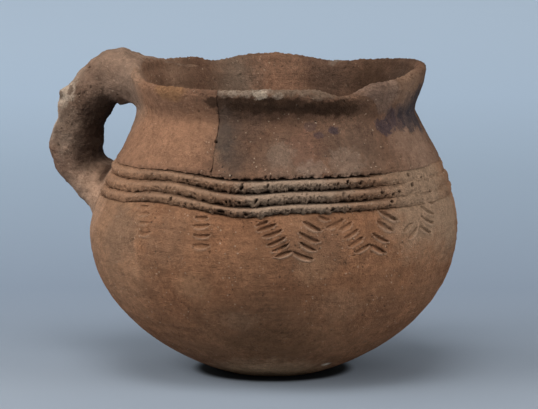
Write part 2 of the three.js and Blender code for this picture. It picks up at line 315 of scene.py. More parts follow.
profile_place = add_node(turned_tree, "GeometryNodeInputPosition").outputs[0]
profile_facing = read_points(turned_tree, "outward", "FLOAT_VECTOR")
carried = keep_points(
    turned_tree, sheet.outputs["Mesh"], "outward", carried_round(profile_facing), "FLOAT_VECTOR",
)
turned_place = carried_round(profile_place)
leaning = spread(
    turned_tree, parts(turned_tree, turned_place)["Z"],
    lean_from_height * mm, (lean_from_height + lean_over_height) * mm,
    0.0, lean_across * mm, "SMOOTHSTEP",
)
turned = add_node(turned_tree, "GeometryNodeSetPosition", {
    "Geometry": carried,
    "Position": turned_place,
    "Offset": scaled(turned_tree, (math.cos(lean_azimuth), math.sin(lean_azimuth), 0), leaning),
})
sealed = add_node(turned_tree, "GeometryNodeMergeByDistance", {
    "Geometry": turned.outputs[0],
    "Distance": 0.000002,
})
finish_tree(turned_tree, sealed.outputs[0], wanted["Clay"])

# Worked surface: dents of fingers, long scrape marks, grain and small pits. The foot stays flat, and
# the pits and the hollows of the crust are darkened in colour as painted shade.
work_names = (
    "Dent Depth", "Dent Scale", "Scrape Depth", "Scrape Scale", "Grain Depth", "Pit Depth", "Pit Share",
    "Crust Depth", "Proud", "Seed",
)
worked_tree, wanted = geometry_tree("worked_surface", [
    *((name, "NodeSocketFloat", 0.0) for name in work_names),
    ("Clay", "NodeSocketMaterial", None),
])
worked_place = add_node(worked_tree, "GeometryNodeInputPosition").outputs[0]


def relief(vector, scale, detail, depth):
    cloud = add_node(worked_tree, "ShaderNodeTexNoise", {
        "Vector": vector,
        "W": wanted["Seed"],
        "Scale": scale,
        "Detail": detail,
    }, noise_dimensions="4D")
    return product(worked_tree, calculate(worked_tree, "SUBTRACT", cloud.outputs[0], 0.5), depth)


drawn_out = vector_math(worked_tree, "MULTIPLY", worked_place, (0.3, 0.3, 3.5))
dents = relief(worked_place, wanted["Dent Scale"], 2.0, wanted["Dent Depth"])
scrapes = relief(drawn_out, wanted["Scrape Scale"], 3.0, wanted["Scrape Depth"])
grain = relief(worked_place, 900.0, 3.0, wanted["Grain Depth"])
pit_cells = add_node(worked_tree, "ShaderNodeTexVoronoi", {
    "Vector": torn(worked_tree, worked_place, 900.0, 0.0012),
    "Scale": 620.0,
})
pit_chance = parts(worked_tree, pit_cells.outputs["Color"])
pit_here = calculate(worked_tree, "LESS_THAN", pit_chance[0], wanted["Pit Share"])
pit_size = calculate(worked_tree, "MULTIPLY_ADD", pit_chance[1], 0.28, 0.14)
pit_near = calculate(worked_tree, "DIVIDE", pit_cells.outputs["Distance"], pit_size)
pit = spread(worked_tree, pit_near, 1.0, 0.35, ease="SMOOTHSTEP")
pit = product(worked_tree, pit, pit_here)
push = calculate(worked_tree, "ADD", calculate(worked_tree, "ADD", dents, scrapes), grain)
push = calculate(worked_tree, "MULTIPLY_ADD", pit, product(worked_tree, wanted["Pit Depth"], -1.0), push)
crust_here = read_points(worked_tree, "crust")
crumbs = product(worked_tree, relief(worked_place, 980.0, 3.0, 1.0), crust_here)
push = calculate(worked_tree, "MULTIPLY_ADD", crumbs, wanted["Crust Depth"], push)
push = calculate(worked_tree, "MINIMUM", push, wanted["Proud"])
# Painted shade: the hollows of the crust and the pits are darkened in colour.
crumb_hollow_shade = spread(worked_tree, crumbs, -0.04, -0.2, 0.0, 0.6)
off_foot = spread(worked_tree, parts(worked_tree, worked_place)["Z"], 0.2 * mm, 4 * mm)
facing_out = read_points(worked_tree, "outward", "FLOAT_VECTOR")
dirt_and_shade_after = calculate(worked_tree, "MAXIMUM", read_points(worked_tree, "dirt"), crumb_hollow_shade)
dirt_and_shade_after = calculate(worked_tree, "MAXIMUM", dirt_and_shade_after, product(worked_tree, pit, 0.5))
worked = add_node(worked_tree, "GeometryNodeSetPosition", {
    "Geometry": keep_points(worked_tree, wanted["Geometry"], "dirt", dirt_and_shade_after),
    "Offset": scaled(worked_tree, facing_out, product(worked_tree, push, off_foot)),
})
finish_tree(worked_tree, worked.outputs[0], wanted["Clay"])


# Works a piece over. Dents and scrapes are a depth and a scale, pits a depth and a share.
def work_over(piece, clay, dents, scrapes, grain, pits, crust=0.0024, proud=0.00007, seed=1.0):
    values = dict(zip(work_names, (*dents, *scrapes, grain, *pits, crust, proud, seed)))
    shape_by(piece, worked_tree, {**values, "Clay": clay})


# Empty shader group with named sockets and their kinds.
def shader_group(name, inputs, outputs):
    group = bpy.data.node_groups.new(name, "ShaderNodeTree")
    for side, sockets in (("INPUT", inputs), ("OUTPUT", outputs)):
        for label, kind in sockets.items():
            group.interface.new_socket(name=label, in_out=side, socket_type=f"NodeSocket{kind}")
    return group, group.nodes.new("NodeGroupInput").outputs


# Fired clay: brown mottled by the fire, with horizontal wiping, pale temper grains and dark pits.
clay_group, given = shader_group(
    "fired_clay",
    {"Vector": "Vector", "Dark": "Color", "Light": "Color", "Grit": "Float", "Wiped": "Float"},
    {"Color": "Color", "Roughness": "Float", "Height": "Float", "Grain": "Float"},
)


def noise(tree, vector, scale, detail=4.0, roughness=0.55):
    return add_node(tree, "ShaderNodeTexNoise", {
        "Vector": vector,
        "Scale": scale,
        "Detail": detail,
        "Roughness": roughness,
    }).outputs[0]


def blend(tree, factor, first, second, kind="MIX"):
    node = add_node(tree, "ShaderNodeMix", data_type="RGBA", blend_type=kind)
    for name, value in (("Factor", factor), ("A", first), ("B", second)):
        socket = next(s for s in node.inputs if s.name == name and s.enabled)
        if isinstance(value, bpy.types.NodeSocket):
            tree.links.new(value, socket)
        else:
            socket.default_value = value
    return next(s for s in node.outputs if s.enabled)


def specks(tree, vector, scale, share, size):
    cells = add_node(tree, "ShaderNodeTexVoronoi", {"Vector": vector, "Scale": scale})
    chosen = add_node(tree, "ShaderNodeSeparateColor", {0: cells.outputs["Color"]}).outputs[0]
    near = spread(tree, cells.outputs["Distance"], size, size * 0.6)
    return product(tree, near, calculate(tree, "LESS_THAN", chosen, share))


# Clouded share of the clay, from 0 to 1 unless other ends are given.
def cloud(scale, detail, roughness, *ends, place=given["Vector"]):
    return spread(clay_group, noise(clay_group, place, scale, detail, roughness), *(ends or (0.3, 0.7)))


wiped = vector_math(clay_group, "MULTIPLY", given["Vector"], (0.25, 0.25, 4.0))
fire = cloud(30.0, 4.0, 0.6)
mottle = cloud(150.0, 5.0, 0.7)
wipe = cloud(150.0, 5.0, 0.65, place=wiped)
speckle = cloud(620.0, 4.0, 0.75)
sand = cloud(1900.0, 3.0, 0.7)
tone = calculate(clay_group, "MULTIPLY_ADD", fire, 0.38, product(clay_group, mottle, 0.46))
tone = calculate(clay_group, "SUBTRACT", tone, 0.04)
wipe = product(clay_group, calculate(clay_group, "SUBTRACT", wipe, 0.5), given["Wiped"])
tone = calculate(clay_group, "ADD", calculate(clay_group, "MULTIPLY_ADD", wipe, 0.24, tone), 0.12)
ground = blend(clay_group, tone, given["Dark"], given["Light"])
ruddy = product(clay_group, cloud(75.0, 3.0, 0.6, 0.45, 0.7), 0.3)
ground = blend(clay_group, ruddy, ground, (1.0, 0.80, 0.68, 1), "MULTIPLY")
torn_vector = torn(clay_group, given["Vector"], 1400.0, 0.0009)
pale = product(clay_group, specks(clay_group, torn_vector, 820.0, 0.09, 0.34), given["Grit"])
sooty = product(clay_group, specks(clay_group, torn_vector, 700.0, 0.07, 0.32), given["Grit"])
ground = blend(clay_group, product(clay_group, pale, 0.6), ground, (0.42, 0.31, 0.22, 1))
ground = blend(clay_group, product(clay_group, sooty, 0.75), ground, (0.03, 0.018, 0.012, 1))
gritty = cloud(70.0, 3.0, 0.6, 0.35, 0.65, 0.25, 1.0)
grain = calculate(clay_group, "MULTIPLY_ADD", speckle, 0.7, product(clay_group, sand, 0.6))
grain = calculate(clay_group, "SUBTRACT", grain, 0.65)
grain = calculate(clay_group, "MULTIPLY_ADD", grain, gritty, 1.0)
blotch = cloud(260.0, 4.0, 0.7, 0.3, 0.7, 0.8, 1.2)
grain = product(clay_group, grain, blotch)
height = calculate(clay_group, "MULTIPLY_ADD", speckle, 0.7, product(clay_group, wipe, 0.3))
height = calculate(clay_group, "MULTIPLY_ADD", sand, 0.5, height)
height = calculate(clay_group, "MULTIPLY_ADD", mottle, 0.4, height)
height = calculate(clay_group, "MULTIPLY_ADD", pale, 0.3, height)
height = calculate(clay_group, "MULTIPLY_ADD", sooty, -0.8, height)
add_node(clay_group, "NodeGroupOutput", {
    "Color": ground,
    "Roughness": spread(clay_group, mottle, 0.0, 1.0, 0.97, 0.8),
    "Height": height,
    "Grain": grain,
})

# Stain: a ragged patch round a centre, as a mask. Where it is more ragged, its edge is sharper.
stain_group, given = shader_group(
    "ragged_stain",
    {
        "Vector": "Vector",
        "Centre": "Vector",
        "Squeeze": "Vector",
        "Radius": "Float",
        "Raggedness": "Float",
        "Sharpness": "Float",
    },
    {"Mask": "Float"},
)
from_centre = vector_math(stain_group, "SUBTRACT", given["Vector"], given["Centre"])
squeezed = vector_math(stain_group, "MULTIPLY", from_centre, given["Squeeze"])
far = vector_math(stain_group, "LENGTH", squeezed)
tatter_scale = calculate(
    stain_group, "MAXIMUM", calculate(stain_group, "DIVIDE", 2.4, given["Radius"]), 190.0,
)
tatters = noise(stain_group, given["Vector"], tatter_scale, 5.0, 0.65)
ragged = calculate(stain_group, "SUBTRACT", tatters, 0.5)
far = calculate(stain_group, "DIVIDE", far, given["Radius"])
far = calculate(stain_group, "MULTIPLY_ADD", ragged, given["Raggedness"], far)
add_node(stain_group, "NodeGroupOutput", {"Mask": spread(stain_group, far, 1.0, given["Sharpness"])})


def on_wall(azimuth, high):
    return wall_point(arc_at(high), 0, float(azimuth))[0]


# Material of one kind of piece. A stain is its spot, radius, squeeze up, colour, strength and how
# ragged it is, and keeps the grain of the clay. Its spot is azimuth and height, or what the function
# given as spot takes, or a place. One attribute pales the clay: painted highlight on raised lips and
# lit slopes. Another darkens it in cracks, pits and grooves: dirt and dark joints, and painted shade.
def clay_material(name, dark, light, stains, grit=1.0, bump=0.0008, wiped=1.0, spot=on_wall):
    material = bpy.data.materials.new(name)
    material.use_nodes = True
    tree = material.node_tree
    shader = tree.nodes["Principled BSDF"]
    place = add_node(tree, "ShaderNodeTexCoord").outputs["Object"]
    clay = add_node(tree, "ShaderNodeGroup", node_tree=clay_group)
    tree.links.new(place, clay.inputs["Vector"])
    clay.inputs["Dark"].default_value = (*dark, 1)
    clay.inputs["Light"].default_value = (*light, 1)
    clay.inputs["Grit"].default_value = grit
    clay.inputs["Wiped"].default_value = wiped
    color = clay.outputs["Color"]
    for *where, radius, squeeze, tint, strength, raggedness in stains:
        mask = add_node(tree, "ShaderNodeGroup", node_tree=stain_group)
        tree.links.new(place, mask.inputs["Vector"])
        mask.inputs["Centre"].default_value = where if len(where) == 3 else spot(*where)
        mask.inputs["Squeeze"].default_value = (1, 1, squeeze)
        mask.inputs["Radius"].default_value = radius * mm
        mask.inputs["Raggedness"].default_value = raggedness
        mask.inputs["Sharpness"].default_value = 1 - 0.65 / max(1.0, raggedness) ** 2
        factor = product(tree, mask.outputs["Mask"], strength)
        color = blend(tree, factor, color, (*tint, 1))
    color = scaled(tree, color, clay.outputs["Grain"])
    # Painted highlight: the marked raised lips and lap slopes are blended towards a pale colour.
    worn = add_node(tree, "ShaderNodeAttribute", attribute_name="worn").outputs["Fac"]
    color = blend(tree, product(tree, worn, 0.6), color, (0.40, 0.27, 0.185, 1))
    # Painted shade: the marked grooves, pits and hollows are darkened, besides dirt and dark joints.
    dirt = add_node(tree, "ShaderNodeAttribute", attribute_name="dirt").outputs["Fac"]
    dirt = product(tree, dirt, 0.92)
    color = blend(tree, dirt, color, (0.012, 0.006, 0.004, 1))
    tree.links.new(color, shader.inputs["Base Color"])
    tree.links.new(clay.outputs["Roughness"], shader.inputs["Roughness"])
    raised = add_node(tree, "ShaderNodeBump", {
        "Strength": 0.8,
        "Distance": bump,
        "Height": clay.outputs["Height"],
    })
    tree.links.new(raised.outputs["Normal"], shader.inputs["Normal"])
    shader.inputs["Specular IOR Level"].default_value = 0.08
    return material


grey_smoke = (0.105, 0.076, 0.056)
dull_brown = (0.085, 0.045, 0.028)
deep_brown = (0.075, 0.038, 0.022)
pale_orange = (0.31, 0.165, 0.092)
dry_tan = (0.27, 0.165, 0.10)
wall_clay = clay_material(
    "scraped_wall_clay", (0.124, 0.056, 0.029), (0.314, 0.155, 0.081),
    [
        (225, 60, 34, 0.8, dry_tan, 0.45, 0.8),
        (203, 66, 20, 0.9, (0.33, 0.20, 0.128), 0.7, 0.7),
        (184, 66, 22, 0.9, (0.37, 0.225, 0.145), 0.8, 0.8),
        (158, 66, 18, 0.9, (0.30, 0.18, 0.115), 0.7, 0.9),
        (238, 51.4, 11, 1.2, pale_orange, 0.7, 1.0),
        (232, 61, 14, 1.0, grey_smoke, 0.25, 1.4),
        (257, 72, 14, 1.6, pale_orange, 0.3, 1.0),
        (292, 72, 11, 1.6, pale_orange, 0.4, 1.0),
        (253, 61, 13, 1.0, (0.19, 0.105, 0.062), 0.5, 1.1),
        (301, 60, 17, 1.2, (0.165, 0.092, 0.055), 0.5, 1.1),
        (287, 44, 32, 1.0, deep_brown, 0.2, 1.0),
        (283, 28, 24, 1.3, deep_brown, 0.4, 1.0),
        (262, 44, 10, 1.4, (0.34, 0.185, 0.10), 0.4, 1.1),
        (276, 30, 9, 1.4, (0.34, 0.20, 0.12), 0.35, 1.2),
        (310, 36, 12, 1.2, (0.30, 0.165, 0.095), 0.4, 1.2),
        (300, 52, 9, 1.2, (0.33, 0.18, 0.10), 0.35, 1.2),
        (325, 30, 14, 1.0, dull_brown, 0.2, 1.2),
        # Painted bounce light: the stains at 16 mm and at 2 mm up lighten the lowest part of the belly, as
        # if lit from the floor.
        (283, 16, 46, 1.6, (0.26, 0.14, 0.075), 0.35, 0.8),
        (286, 20, 24, 1.7, (0.095, 0.046, 0.021), 0.32, 1.2),
        (286, 2, 28, 1.7, (0.56, 0.35, 0.205), 0.9, 0.9),
        (340, 70, 26, 1.2, (0.275, 0.18, 0.115), 0.8, 1.0),
        (360, 68, 24, 1.0, (0.275, 0.18, 0.115), 0.85, 0.9),
        (346, 47, 16, 1.0, pale_orange, 0.3, 1.1),
        (120, 50, 40, 0.8, dull_brown, 0.4, 0.9),
        (60, 62, 26, 1.0, grey_smoke, 0.35, 1.0),
        (160, 60, 20, 1.0, pale_orange, 0.4, 1.0),
        (322.4, 7.1, 2.6, 1.7, (0.72, 0.62, 0.50), 0.9, 0.8),
    ],
)


# Smooth shading with sharp section corners, then the calls that dress the model.
def dress(piece, slot, *nodes):
    mesh = piece.data
    mesh.polygons.foreach_set("use_smooth", [True] * len(mesh.polygons))
    mesh.set_sharp_from_angle(angle=math.radians(52))
    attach(piece, "root")
    if nodes:
        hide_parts(*nodes)


band_bottom_arc = 77
outside_arcs = np.linspace(-foot_radius, band_bottom_arc, 130)
inside_arcs = np.linspace(band_bottom_arc + lap_rise, 0, 68)
inside_depths = np.interp(inside_arcs, [0, 28], [floor_thickness, wall_thickness])
outside_radius, outside_height, outside_out, outside_up = outline_point(outside_arcs, 0)
inside_radius, inside_height, inside_out, inside_up = outline_point(inside_arcs, inside_depths)
profile = np.concatenate([
    np.stack([outside_radius, 0 * outside_radius, outside_height], 1),
    np.stack([inside_radius, 0 * inside_radius, inside_height], 1),
    [[0, 0, inside_height[-1]]],
]) * mm
profile_ways = np.concatenate([
    np.stack([outside_out, 0 * outside_out, outside_up], 1),
    np.stack([-inside_out, 0 * inside_out, -inside_up], 1),
    [[0, 0, 1]],
])
lower_wall = new_piece(
    "lower_wall", profile, [(i, i + 1) for i in range(len(profile) - 1)], [], profile_ways,
)
shape_by(lower_wall, turned_tree, {"Steps Round": 481, "Clay": wall_clay})
work_over(
    lower_wall, wall_clay,
    dents=(0.0016, 34.0), scrapes=(0.0008, 75.0), grain=0.0003, pits=(0.0004, 0.05),
)
dress(lower_wall, "wall_clay", "base_bowl", *[f"body_coil_{i}" for i in range(1, 5)])

# Carved shoulder band
# The upper wall below the exposed coils is smoothed too, then marked with short strokes of a blunt
# stick: ladders near the handle, rows of chevrons in front. A node tree presses them into the clay.
belt_bottom_height = 74
coil_pitches = (4.1, 4.8, 4.4)
belt_swells = ((200, 35, -1.0), (247, 22, 2.0), (277, 17, -1.5))
lap_wanders = (1, 1, 0.8, 0.5)
band_columns = 1050


def swelling(swells, azimuth):
    total = 0 * azimuth
    for at, half_width, rise in swells:
        away = np.abs((azimuth - at + 180) % 360 - 180)
        total += np.where(away < half_width, rise * (1 + np.cos(np.pi * away / half_width)) / 2, 0)
    return total


def lap_height(index, azimuth):
    height = belt_bottom_height + sum(coil_pitches[:index])
    return height + lap_wanders[index] * swelling(belt_swells, azimuth)


def lap_arc(index, azimuth):
    return arc_at(lap_height(index, azimuth))


# Four-sided faces over rows and columns of points, either of which may run round.
def quads(rows, columns, round_rows, round_columns):
    row, column = np.meshgrid(
        np.arange(rows if round_rows else rows - 1),
        np.arange(columns if round_columns else columns - 1),
        indexing="ij",
    )
    above, beside = (row + 1) % rows, (column + 1) % columns
    corners = ((row, column), (row, beside), (above, beside), (above, column))
    return np.stack([r * columns + c for r, c in corners], -1).reshape(-1, 4).tolist()


# Closed skin: rows go round the section, columns go round the pot, or from one broken edge to the
# other, where each end is closed by faces between the outer and the inner half of the section.
def clay_skin(name, places, outward, closed=True, **fields):
    rows, columns = places.shape[:2]
    faces = quads(rows, columns, True, closed)
    if not closed:
        last = columns - 1
        for row in range(rows // 2 - 1):
            low, high = row * columns, (row + 1) * columns
            far_low, far_high = (rows - 1 - row) * columns, (rows - 2 - row) * columns
            faces.append((low, high, far_high, far_low))
            faces.append((low + last, far_low + last, far_high + last, high + last))
    skin = new_piece(name, places.reshape(-1, 3), [], faces, outward.reshape(-1, 3))
    for label, values in fields.items():
        add_field(skin, label, values)
    return skin


# Section of a band as arc length and depth rows over all azimuths, outside up and inside down.
def band_section(bottom, top, thickness, outside_rows, inside_rows):
    up = np.linspace(0, 1, outside_rows)[:, None]
    down = np.linspace(1, 0, inside_rows)[:, None]
    arcs = np.vstack([bottom + (top - bottom) * up, bottom + (top - bottom) * down + lap_rise])
    depths = np.vstack([0 * up + 0 * bottom, 0 * down + thickness + 0 * bottom])
    return arcs, depths


def faced_outward(arcs, depths, azimuth, outside_rows):
    places, outward = wall_point(arcs, depths, azimuth + 0 * arcs)
    outward[outside_rows:] *= -1
    return places, outward


# The band lies a hair deep, because the strokes raise lips beside them.
band_azimuth = np.linspace(0, 360, band_columns, endpoint=False)
band_rows = 62
arcs, depths = band_section(
    band_bottom_arc + 0 * band_azimuth, lap_arc(0, band_azimuth), wall_thickness, band_rows, 6,
)
depths[band_rows - 3:band_rows] += np.array([0.0, 0.15, 0.6])[:, None]
depths[:band_rows] += 0.07 * np.minimum(1, np.arange(band_rows) / 8)[:, None]
shoulder_band = clay_skin(
    "shoulder_band", *faced_outward(arcs, depths, band_azimuth[None, :], band_rows),
)

# Strokes: azimuth and height of the middle, how far the right end stands above the left, length.
# Those near the handle are faint, those in front are the deepest.
stroke_marks = []
for place, high, tilt, length in (
    (240.4, 74.0, 0.4, 4.1), (241.5, 71.2, 0.6, 5.7), (242.7, 67.9, 0.6, 5.6), (244.0, 64.4, 0.6, 6.0),
):
    stroke_marks.append((place, high, tilt, length, 0.6))
for place, high, tilt, length in (
    (263.9, 71.9, 0.3, 4.7), (264.3, 69.1, 0.8, 6.8), (265.1, 65.2, 0.4, 6.4), (265.3, 61.3, 0.4, 6.4),
    (306.6, 70.0, 2.7, 7.2), (310.0, 68.9, 2.4, 5.4), (311.8, 65.7, 3.1, 6.9), (303.0, 72.2, -1.5, 4.4),
    (344.8, 71.1, -3.9, 9.6), (343.9, 67.5, -3.6, 9.0), (341.9, 63.9, -3.5, 8.0),
    (346.9, 74.6, -3.1, 7.0), (333.6, 65.9, 2.6, 5.7), (335.5, 63.5, 3.7, 6.6),
):
    stroke_marks.append((place, high, tilt, length, 0.8))
for place, high, tilt, length in (
    (283.6, 70.5, 1.5, 4.1), (285.2, 69.0, 2.3, 6.8), (287.2, 66.8, 2.3, 7.0), (288.5, 63.7, 3.1, 7.2),
    (289.8, 61.2, 2.7, 6.4), (290.9, 58.8, 2.1, 6.4),
    (299.3, 69.3, -3.4, 7.4), (298.5, 65.2, -3.6, 8.4), (298.2, 61.6, -3.2, 7.0), (296.7, 58.1, -3.1, 8.4),
    (313.5, 62.6, 3.0, 6.4), (315.7, 59.7, 2.7, 6.6),
    (325.9, 71.6, -4.1, 9.2), (324.3, 67.6, -4.1, 8.3), (322.2, 63.4, -3.7, 8.1), (321.2, 59.0, -3.3, 7.6),
):
    stroke_marks.append((place, high, tilt, length, 1.1))
# The hidden side carries the same two motifs in the same spacing.
for motif, start in enumerate((22, 62, 102, 142)):
    for row in range(5):
        high = 70.0 - 3.4 * row
        if motif % 2:
            stroke_marks.append((start + 0.3 * row, high, 0.4, 6.0, 0.8))
            continue
        stroke_marks.append((start - 5.5 + 0.9 * row, high, 4.2, 8.6, 0.8))
        stroke_marks.append((start + 10.5 - 0.9 * row, high, -4.4, 9.0, 0.8))

# Marks in the clay: each is a short bowed line with a reach and a press at every point. A lift
# raises the lines off the wall, for marks in a face that stands out from it.
mark_points = 9
stroke_reach = 1.0


def mark_lines(marks, reach, seed, raised):
    chance = np.random.default_rng(seed)
    share = np.linspace(-0.5, 0.5, mark_points)
    taper = 0.45 + 0.55 * np.cos(np.pi * share) ** 0.5
    places, edges, reaches, presses = [], [], [], []
    for place, high, tilt, length, press in marks:
        arc = arc_at(high)
        radius, _, out, _ = outline_point(arc, 0)
        across = math.sqrt(max(length**2 - tilt**2, 0.1))
        bow = 0.35 * chance.uniform(-1, 1) * (4 * share**2 - 1) * (length > 3)
        azimuth = place + np.degrees(share * across / radius)
        lift = raised(azimuth) if raised else 0
        line, _ = wall_point(arc + (share * tilt + bow) / max(out, 0.6), -lift, azimuth)
        first = len(places)
        places.extend(line)
        edges.extend((first + i, first + i + 1) for i in range(mark_points - 1))
        reaches.extend(reach * mm * taper * chance.uniform(0.8, 1.15))
        presses.extend(press * (0.85 + 0.3 * share) * chance.uniform(0.8, 1.15))
    lines = new_piece("mark_lines", places, edges, [])
    add_field(lines, "reach", reaches)
    add_field(lines, "press", presses)
    return lines


pressed_tree, wanted = geometry_tree("pressed_strokes", [
    ("Strokes", "NodeSocketObject", None),
    ("Depth", "NodeSocketFloat", 0.0008),
    ("Lip", "NodeSocketFloat", 0.0002),
    ("Dirt", "NodeSocketFloat", 0.3),
    ("Lean", "NodeSocketFloat", 0.0),
    ("Clay", "NodeSocketMaterial", None),
])
stick = add_node(pressed_tree, "GeometryNodeObjectInfo", {"Object": wanted["Strokes"]})
nearest_line = add_node(pressed_tree, "GeometryNodeProximity", {
    0: stick.outputs["Geometry"],
}, target_element="EDGES")
nearest_point = add_node(pressed_tree, "GeometryNodeSampleNearest", {
    "Geometry": stick.outputs["Geometry"],
}, domain="POINT")


def sampled(label):
    found = add_node(pressed_tree, "GeometryNodeSampleIndex", {
        "Geometry": stick.outputs["Geometry"],
        "Value": read_points(pressed_tree, label),
        "Index": nearest_point.outputs[0],
    }, data_type="FLOAT", domain="POINT")
    return found.outputs[0]


# The stick leant downwards: above its line a stroke is steep, below it shallow with a raised lip.
here = add_node(pressed_tree, "GeometryNodeInputPosition").outputs[0]
from_line = vector_math(pressed_tree, "SUBTRACT", here, nearest_line.outputs["Position"])
above_line = calculate(pressed_tree, "DIVIDE", parts(pressed_tree, from_line)["Z"], sampled("reach"))
above_line = spread(pressed_tree, above_line, -0.3, 0.3)
lean = product(pressed_tree, above_line, wanted["Lean"])
side_reach = calculate(pressed_tree, "MULTIPLY_ADD", lean, -1.0, calculate(
    pressed_tree, "MULTIPLY_ADD", wanted["Lean"], 0.45, 1.0,
))
reached = calculate(pressed_tree, "DIVIDE", nearest_line.outputs["Distance"], calculate(
    pressed_tree, "MULTIPLY", sampled("reach"), side_reach,
))
hollow = spread(pressed_tree, reached, 1.0, 0.15, ease="SMOOTHSTEP")
lip_rise = calculate(pressed_tree, "ABSOLUTE", calculate(pressed_tree, "SUBTRACT", reached, 1.25))
lip_rise = spread(pressed_tree, lip_rise, 0.55, 0.0, ease="SMOOTHSTEP")
lip_rise = product(pressed_tree, lip_rise, calculate(pressed_tree, "SUBTRACT", 1.0, lean))
moved_clay = calculate(
    pressed_tree, "MULTIPLY_ADD", product(pressed_tree, hollow, -1.0), wanted["Depth"],
    product(pressed_tree, lip_rise, wanted["Lip"]),
)
press_here = sampled("press")
moved_clay = product(pressed_tree, moved_clay, press_here)
facing_out = read_points(pressed_tree, "outward", "FLOAT_VECTOR")
shallow_side = calculate(pressed_tree, "SUBTRACT", wanted["Lean"], lean)
shallow_share = spread(pressed_tree, shallow_side, 0.0, 1.0, 1.0, 0.25)
# Painted shade: the hollow of each mark is darkened in colour, most on the steep upper wall.
pressed_hollow_shade = product(pressed_tree, hollow, wanted["Dirt"], press_here, shallow_share)
pressed_hollow_shade = calculate(pressed_tree, "MINIMUM", pressed_hollow_shade, 1.0)
dirt_and_shade_after = calculate(pressed_tree, "MAXIMUM", read_points(pressed_tree, "dirt"), pressed_hollow_shade)
darkened = keep_points(pressed_tree, wanted["Geometry"], "dirt", dirt_and_shade_after)
# Painted highlight: the raised lip below a stroke is marked to be paled where it faces the light.
lip_painted_highlight = product(pressed_tree, lip_rise, wanted["Lean"], press_here)
wear_and_highlight_after = calculate(pressed_tree, "MAXIMUM", read_points(pressed_tree, "worn"), lip_painted_highlight)
pressed = add_node(pressed_tree, "GeometryNodeSetPosition", {
    "Geometry": keep_points(pressed_tree, darkened, "worn", wear_and_highlight_after),
    "Offset": scaled(pressed_tree, facing_out, moved_clay),
})
finish_tree(pressed_tree, pressed.outputs[0], wanted["Clay"])


# Presses marks into a piece: strokes of the stick, or holes and nicks where clay has come away.
def press_marks(piece, marks, seed, clay, reach, depth, lip=0.0, dirt=1.0, lean=0.0, raised=None):
    lines = mark_lines(marks, reach, seed, raised)
    shape_by(piece, pressed_tree, {
        "Strokes": lines,
        "Depth": depth * mm,
        "Lip": lip * mm,
        "Dirt": dirt,
        "Lean": lean,
        "Clay": clay,
    })
    bpy.data.objects.remove(lines)


press_marks(shoulder_band, stroke_marks, 5, wall_clay, stroke_reach, 1.2, lip=0.5, dirt=0.5, lean=1.0)
hair_crack = ((276.4, 72.4, -1.6, 2.0, 1.0), (277.8, 70.6, -1.8, 2.3, 0.7))
press_marks(shoulder_band, hair_crack, 6, wall_clay, 0.3, 0.6)
work_over(
    shoulder_band, wall_clay,
    dents=(0.0016, 34.0), scrapes=(0.0008, 75.0), grain=0.0004, pits=(0.0005, 0.07),
)
dress(shoulder_band, "wall_clay", "body_coil_5", "shoulder_coil")

# Exposed coils
# Three thin coils were left as they were laid, each lapped over the one below and pinched down with
# the fingertips. Their lower edges stand free and crumble. By the handle and on the right they are
# half smoothed over.
coil_relief = 1.5
coil_groove = 1.9
coil_columns = 1700
belt_clay = clay_material(
    "pinched_belt_clay", (0.115, 0.060, 0.034), (0.300, 0.170, 0.102),
    [
        (222, 82, 26, 0.9, pale_orange, 0.5, 0.8),
        (186, 80, 22, 0.9, (0.37, 0.225, 0.145), 0.7, 0.8),
        (256, 80, 20, 1.0, (0.33, 0.19, 0.112), 0.5, 1.0),
        (292, 83, 26, 0.9, (0.31, 0.235, 0.17), 0.6, 1.2),
        (345, 80, 28, 0.9, (0.285, 0.188, 0.122), 0.85, 1.0),
        (100, 82, 40, 0.9, (0.12, 0.08, 0.055), 0.5, 0.9),
    ],
    grit=1.3, bump=0.0010,
)
coil_azimuth = np.linspace(0, 360, coil_columns, endpoint=False)
under_rows = 7
face_rows = 20
fullest_share = 0.44


def wander(azimuth, waves, seed):
    source = np.random.default_rng(seed)
    total = 0 * azimuth
    for wave in waves:
        total += source.uniform(0.4, 1) * np.sin(np.radians(azimuth) * wave + source.uniform(0, 6.3))
    return total / len(waves)


# Crumbled edge: random steps along the circle, from -1 to 1, each about as long as the spacing.
belt_radius = 68


def crumble(azimuth, spacing, seed):
    count = int(2 * math.pi * belt_radius / spacing)
    steps = np.random.default_rng(seed).uniform(-1, 1, count)
    at = (azimuth % 360) / 360 * count
    low = np.floor(at).astype(int)
    return steps[low % count] + (steps[(low + 1) % count] - steps[low % count]) * smooth_step(at - low)


# How crisp the laps are: 1 where they stand as they were laid, less where they were wiped.
wiped_places = (-15, 0, 12, 40, 70, 110, 150, 185, 225, 248, 262, 274, 314, 325, 334, 345)
wiped_crisp = (0.03, 0.03, 0.1, 0.5, 0.7, 0.7, 0.5, 0.3, 0.42, 0.55, 0.76, 1, 1, 0.5, 0.1, 0.03)


def crispness(azimuth):
    return np.interp((azimuth + 15) % 360 - 15, wiped_places, wiped_crisp)


# Free lower edge of a lap: it hangs over a deep narrow groove, darkened in colour as painted shade.
# Rows of arc length and depth, and of the painted shade.
def lap_underside(bottom, proud, crisp, ragged):
    share = np.linspace(0, 1, under_rows, endpoint=False)[:, None]
    groove = coil_groove * crisp ** 1.5
    depths = groove - (groove + 0.5 * proud) * share ** 0.8
    arcs = bottom + 0.3 * crisp * (1 - share) ** 2 - (0.12 + ragged) * share
    dirt = (1 - share ** 3) * 0.97 * smooth_step((crisp - 0.3) / 0.6)
    return arcs, depths, dirt


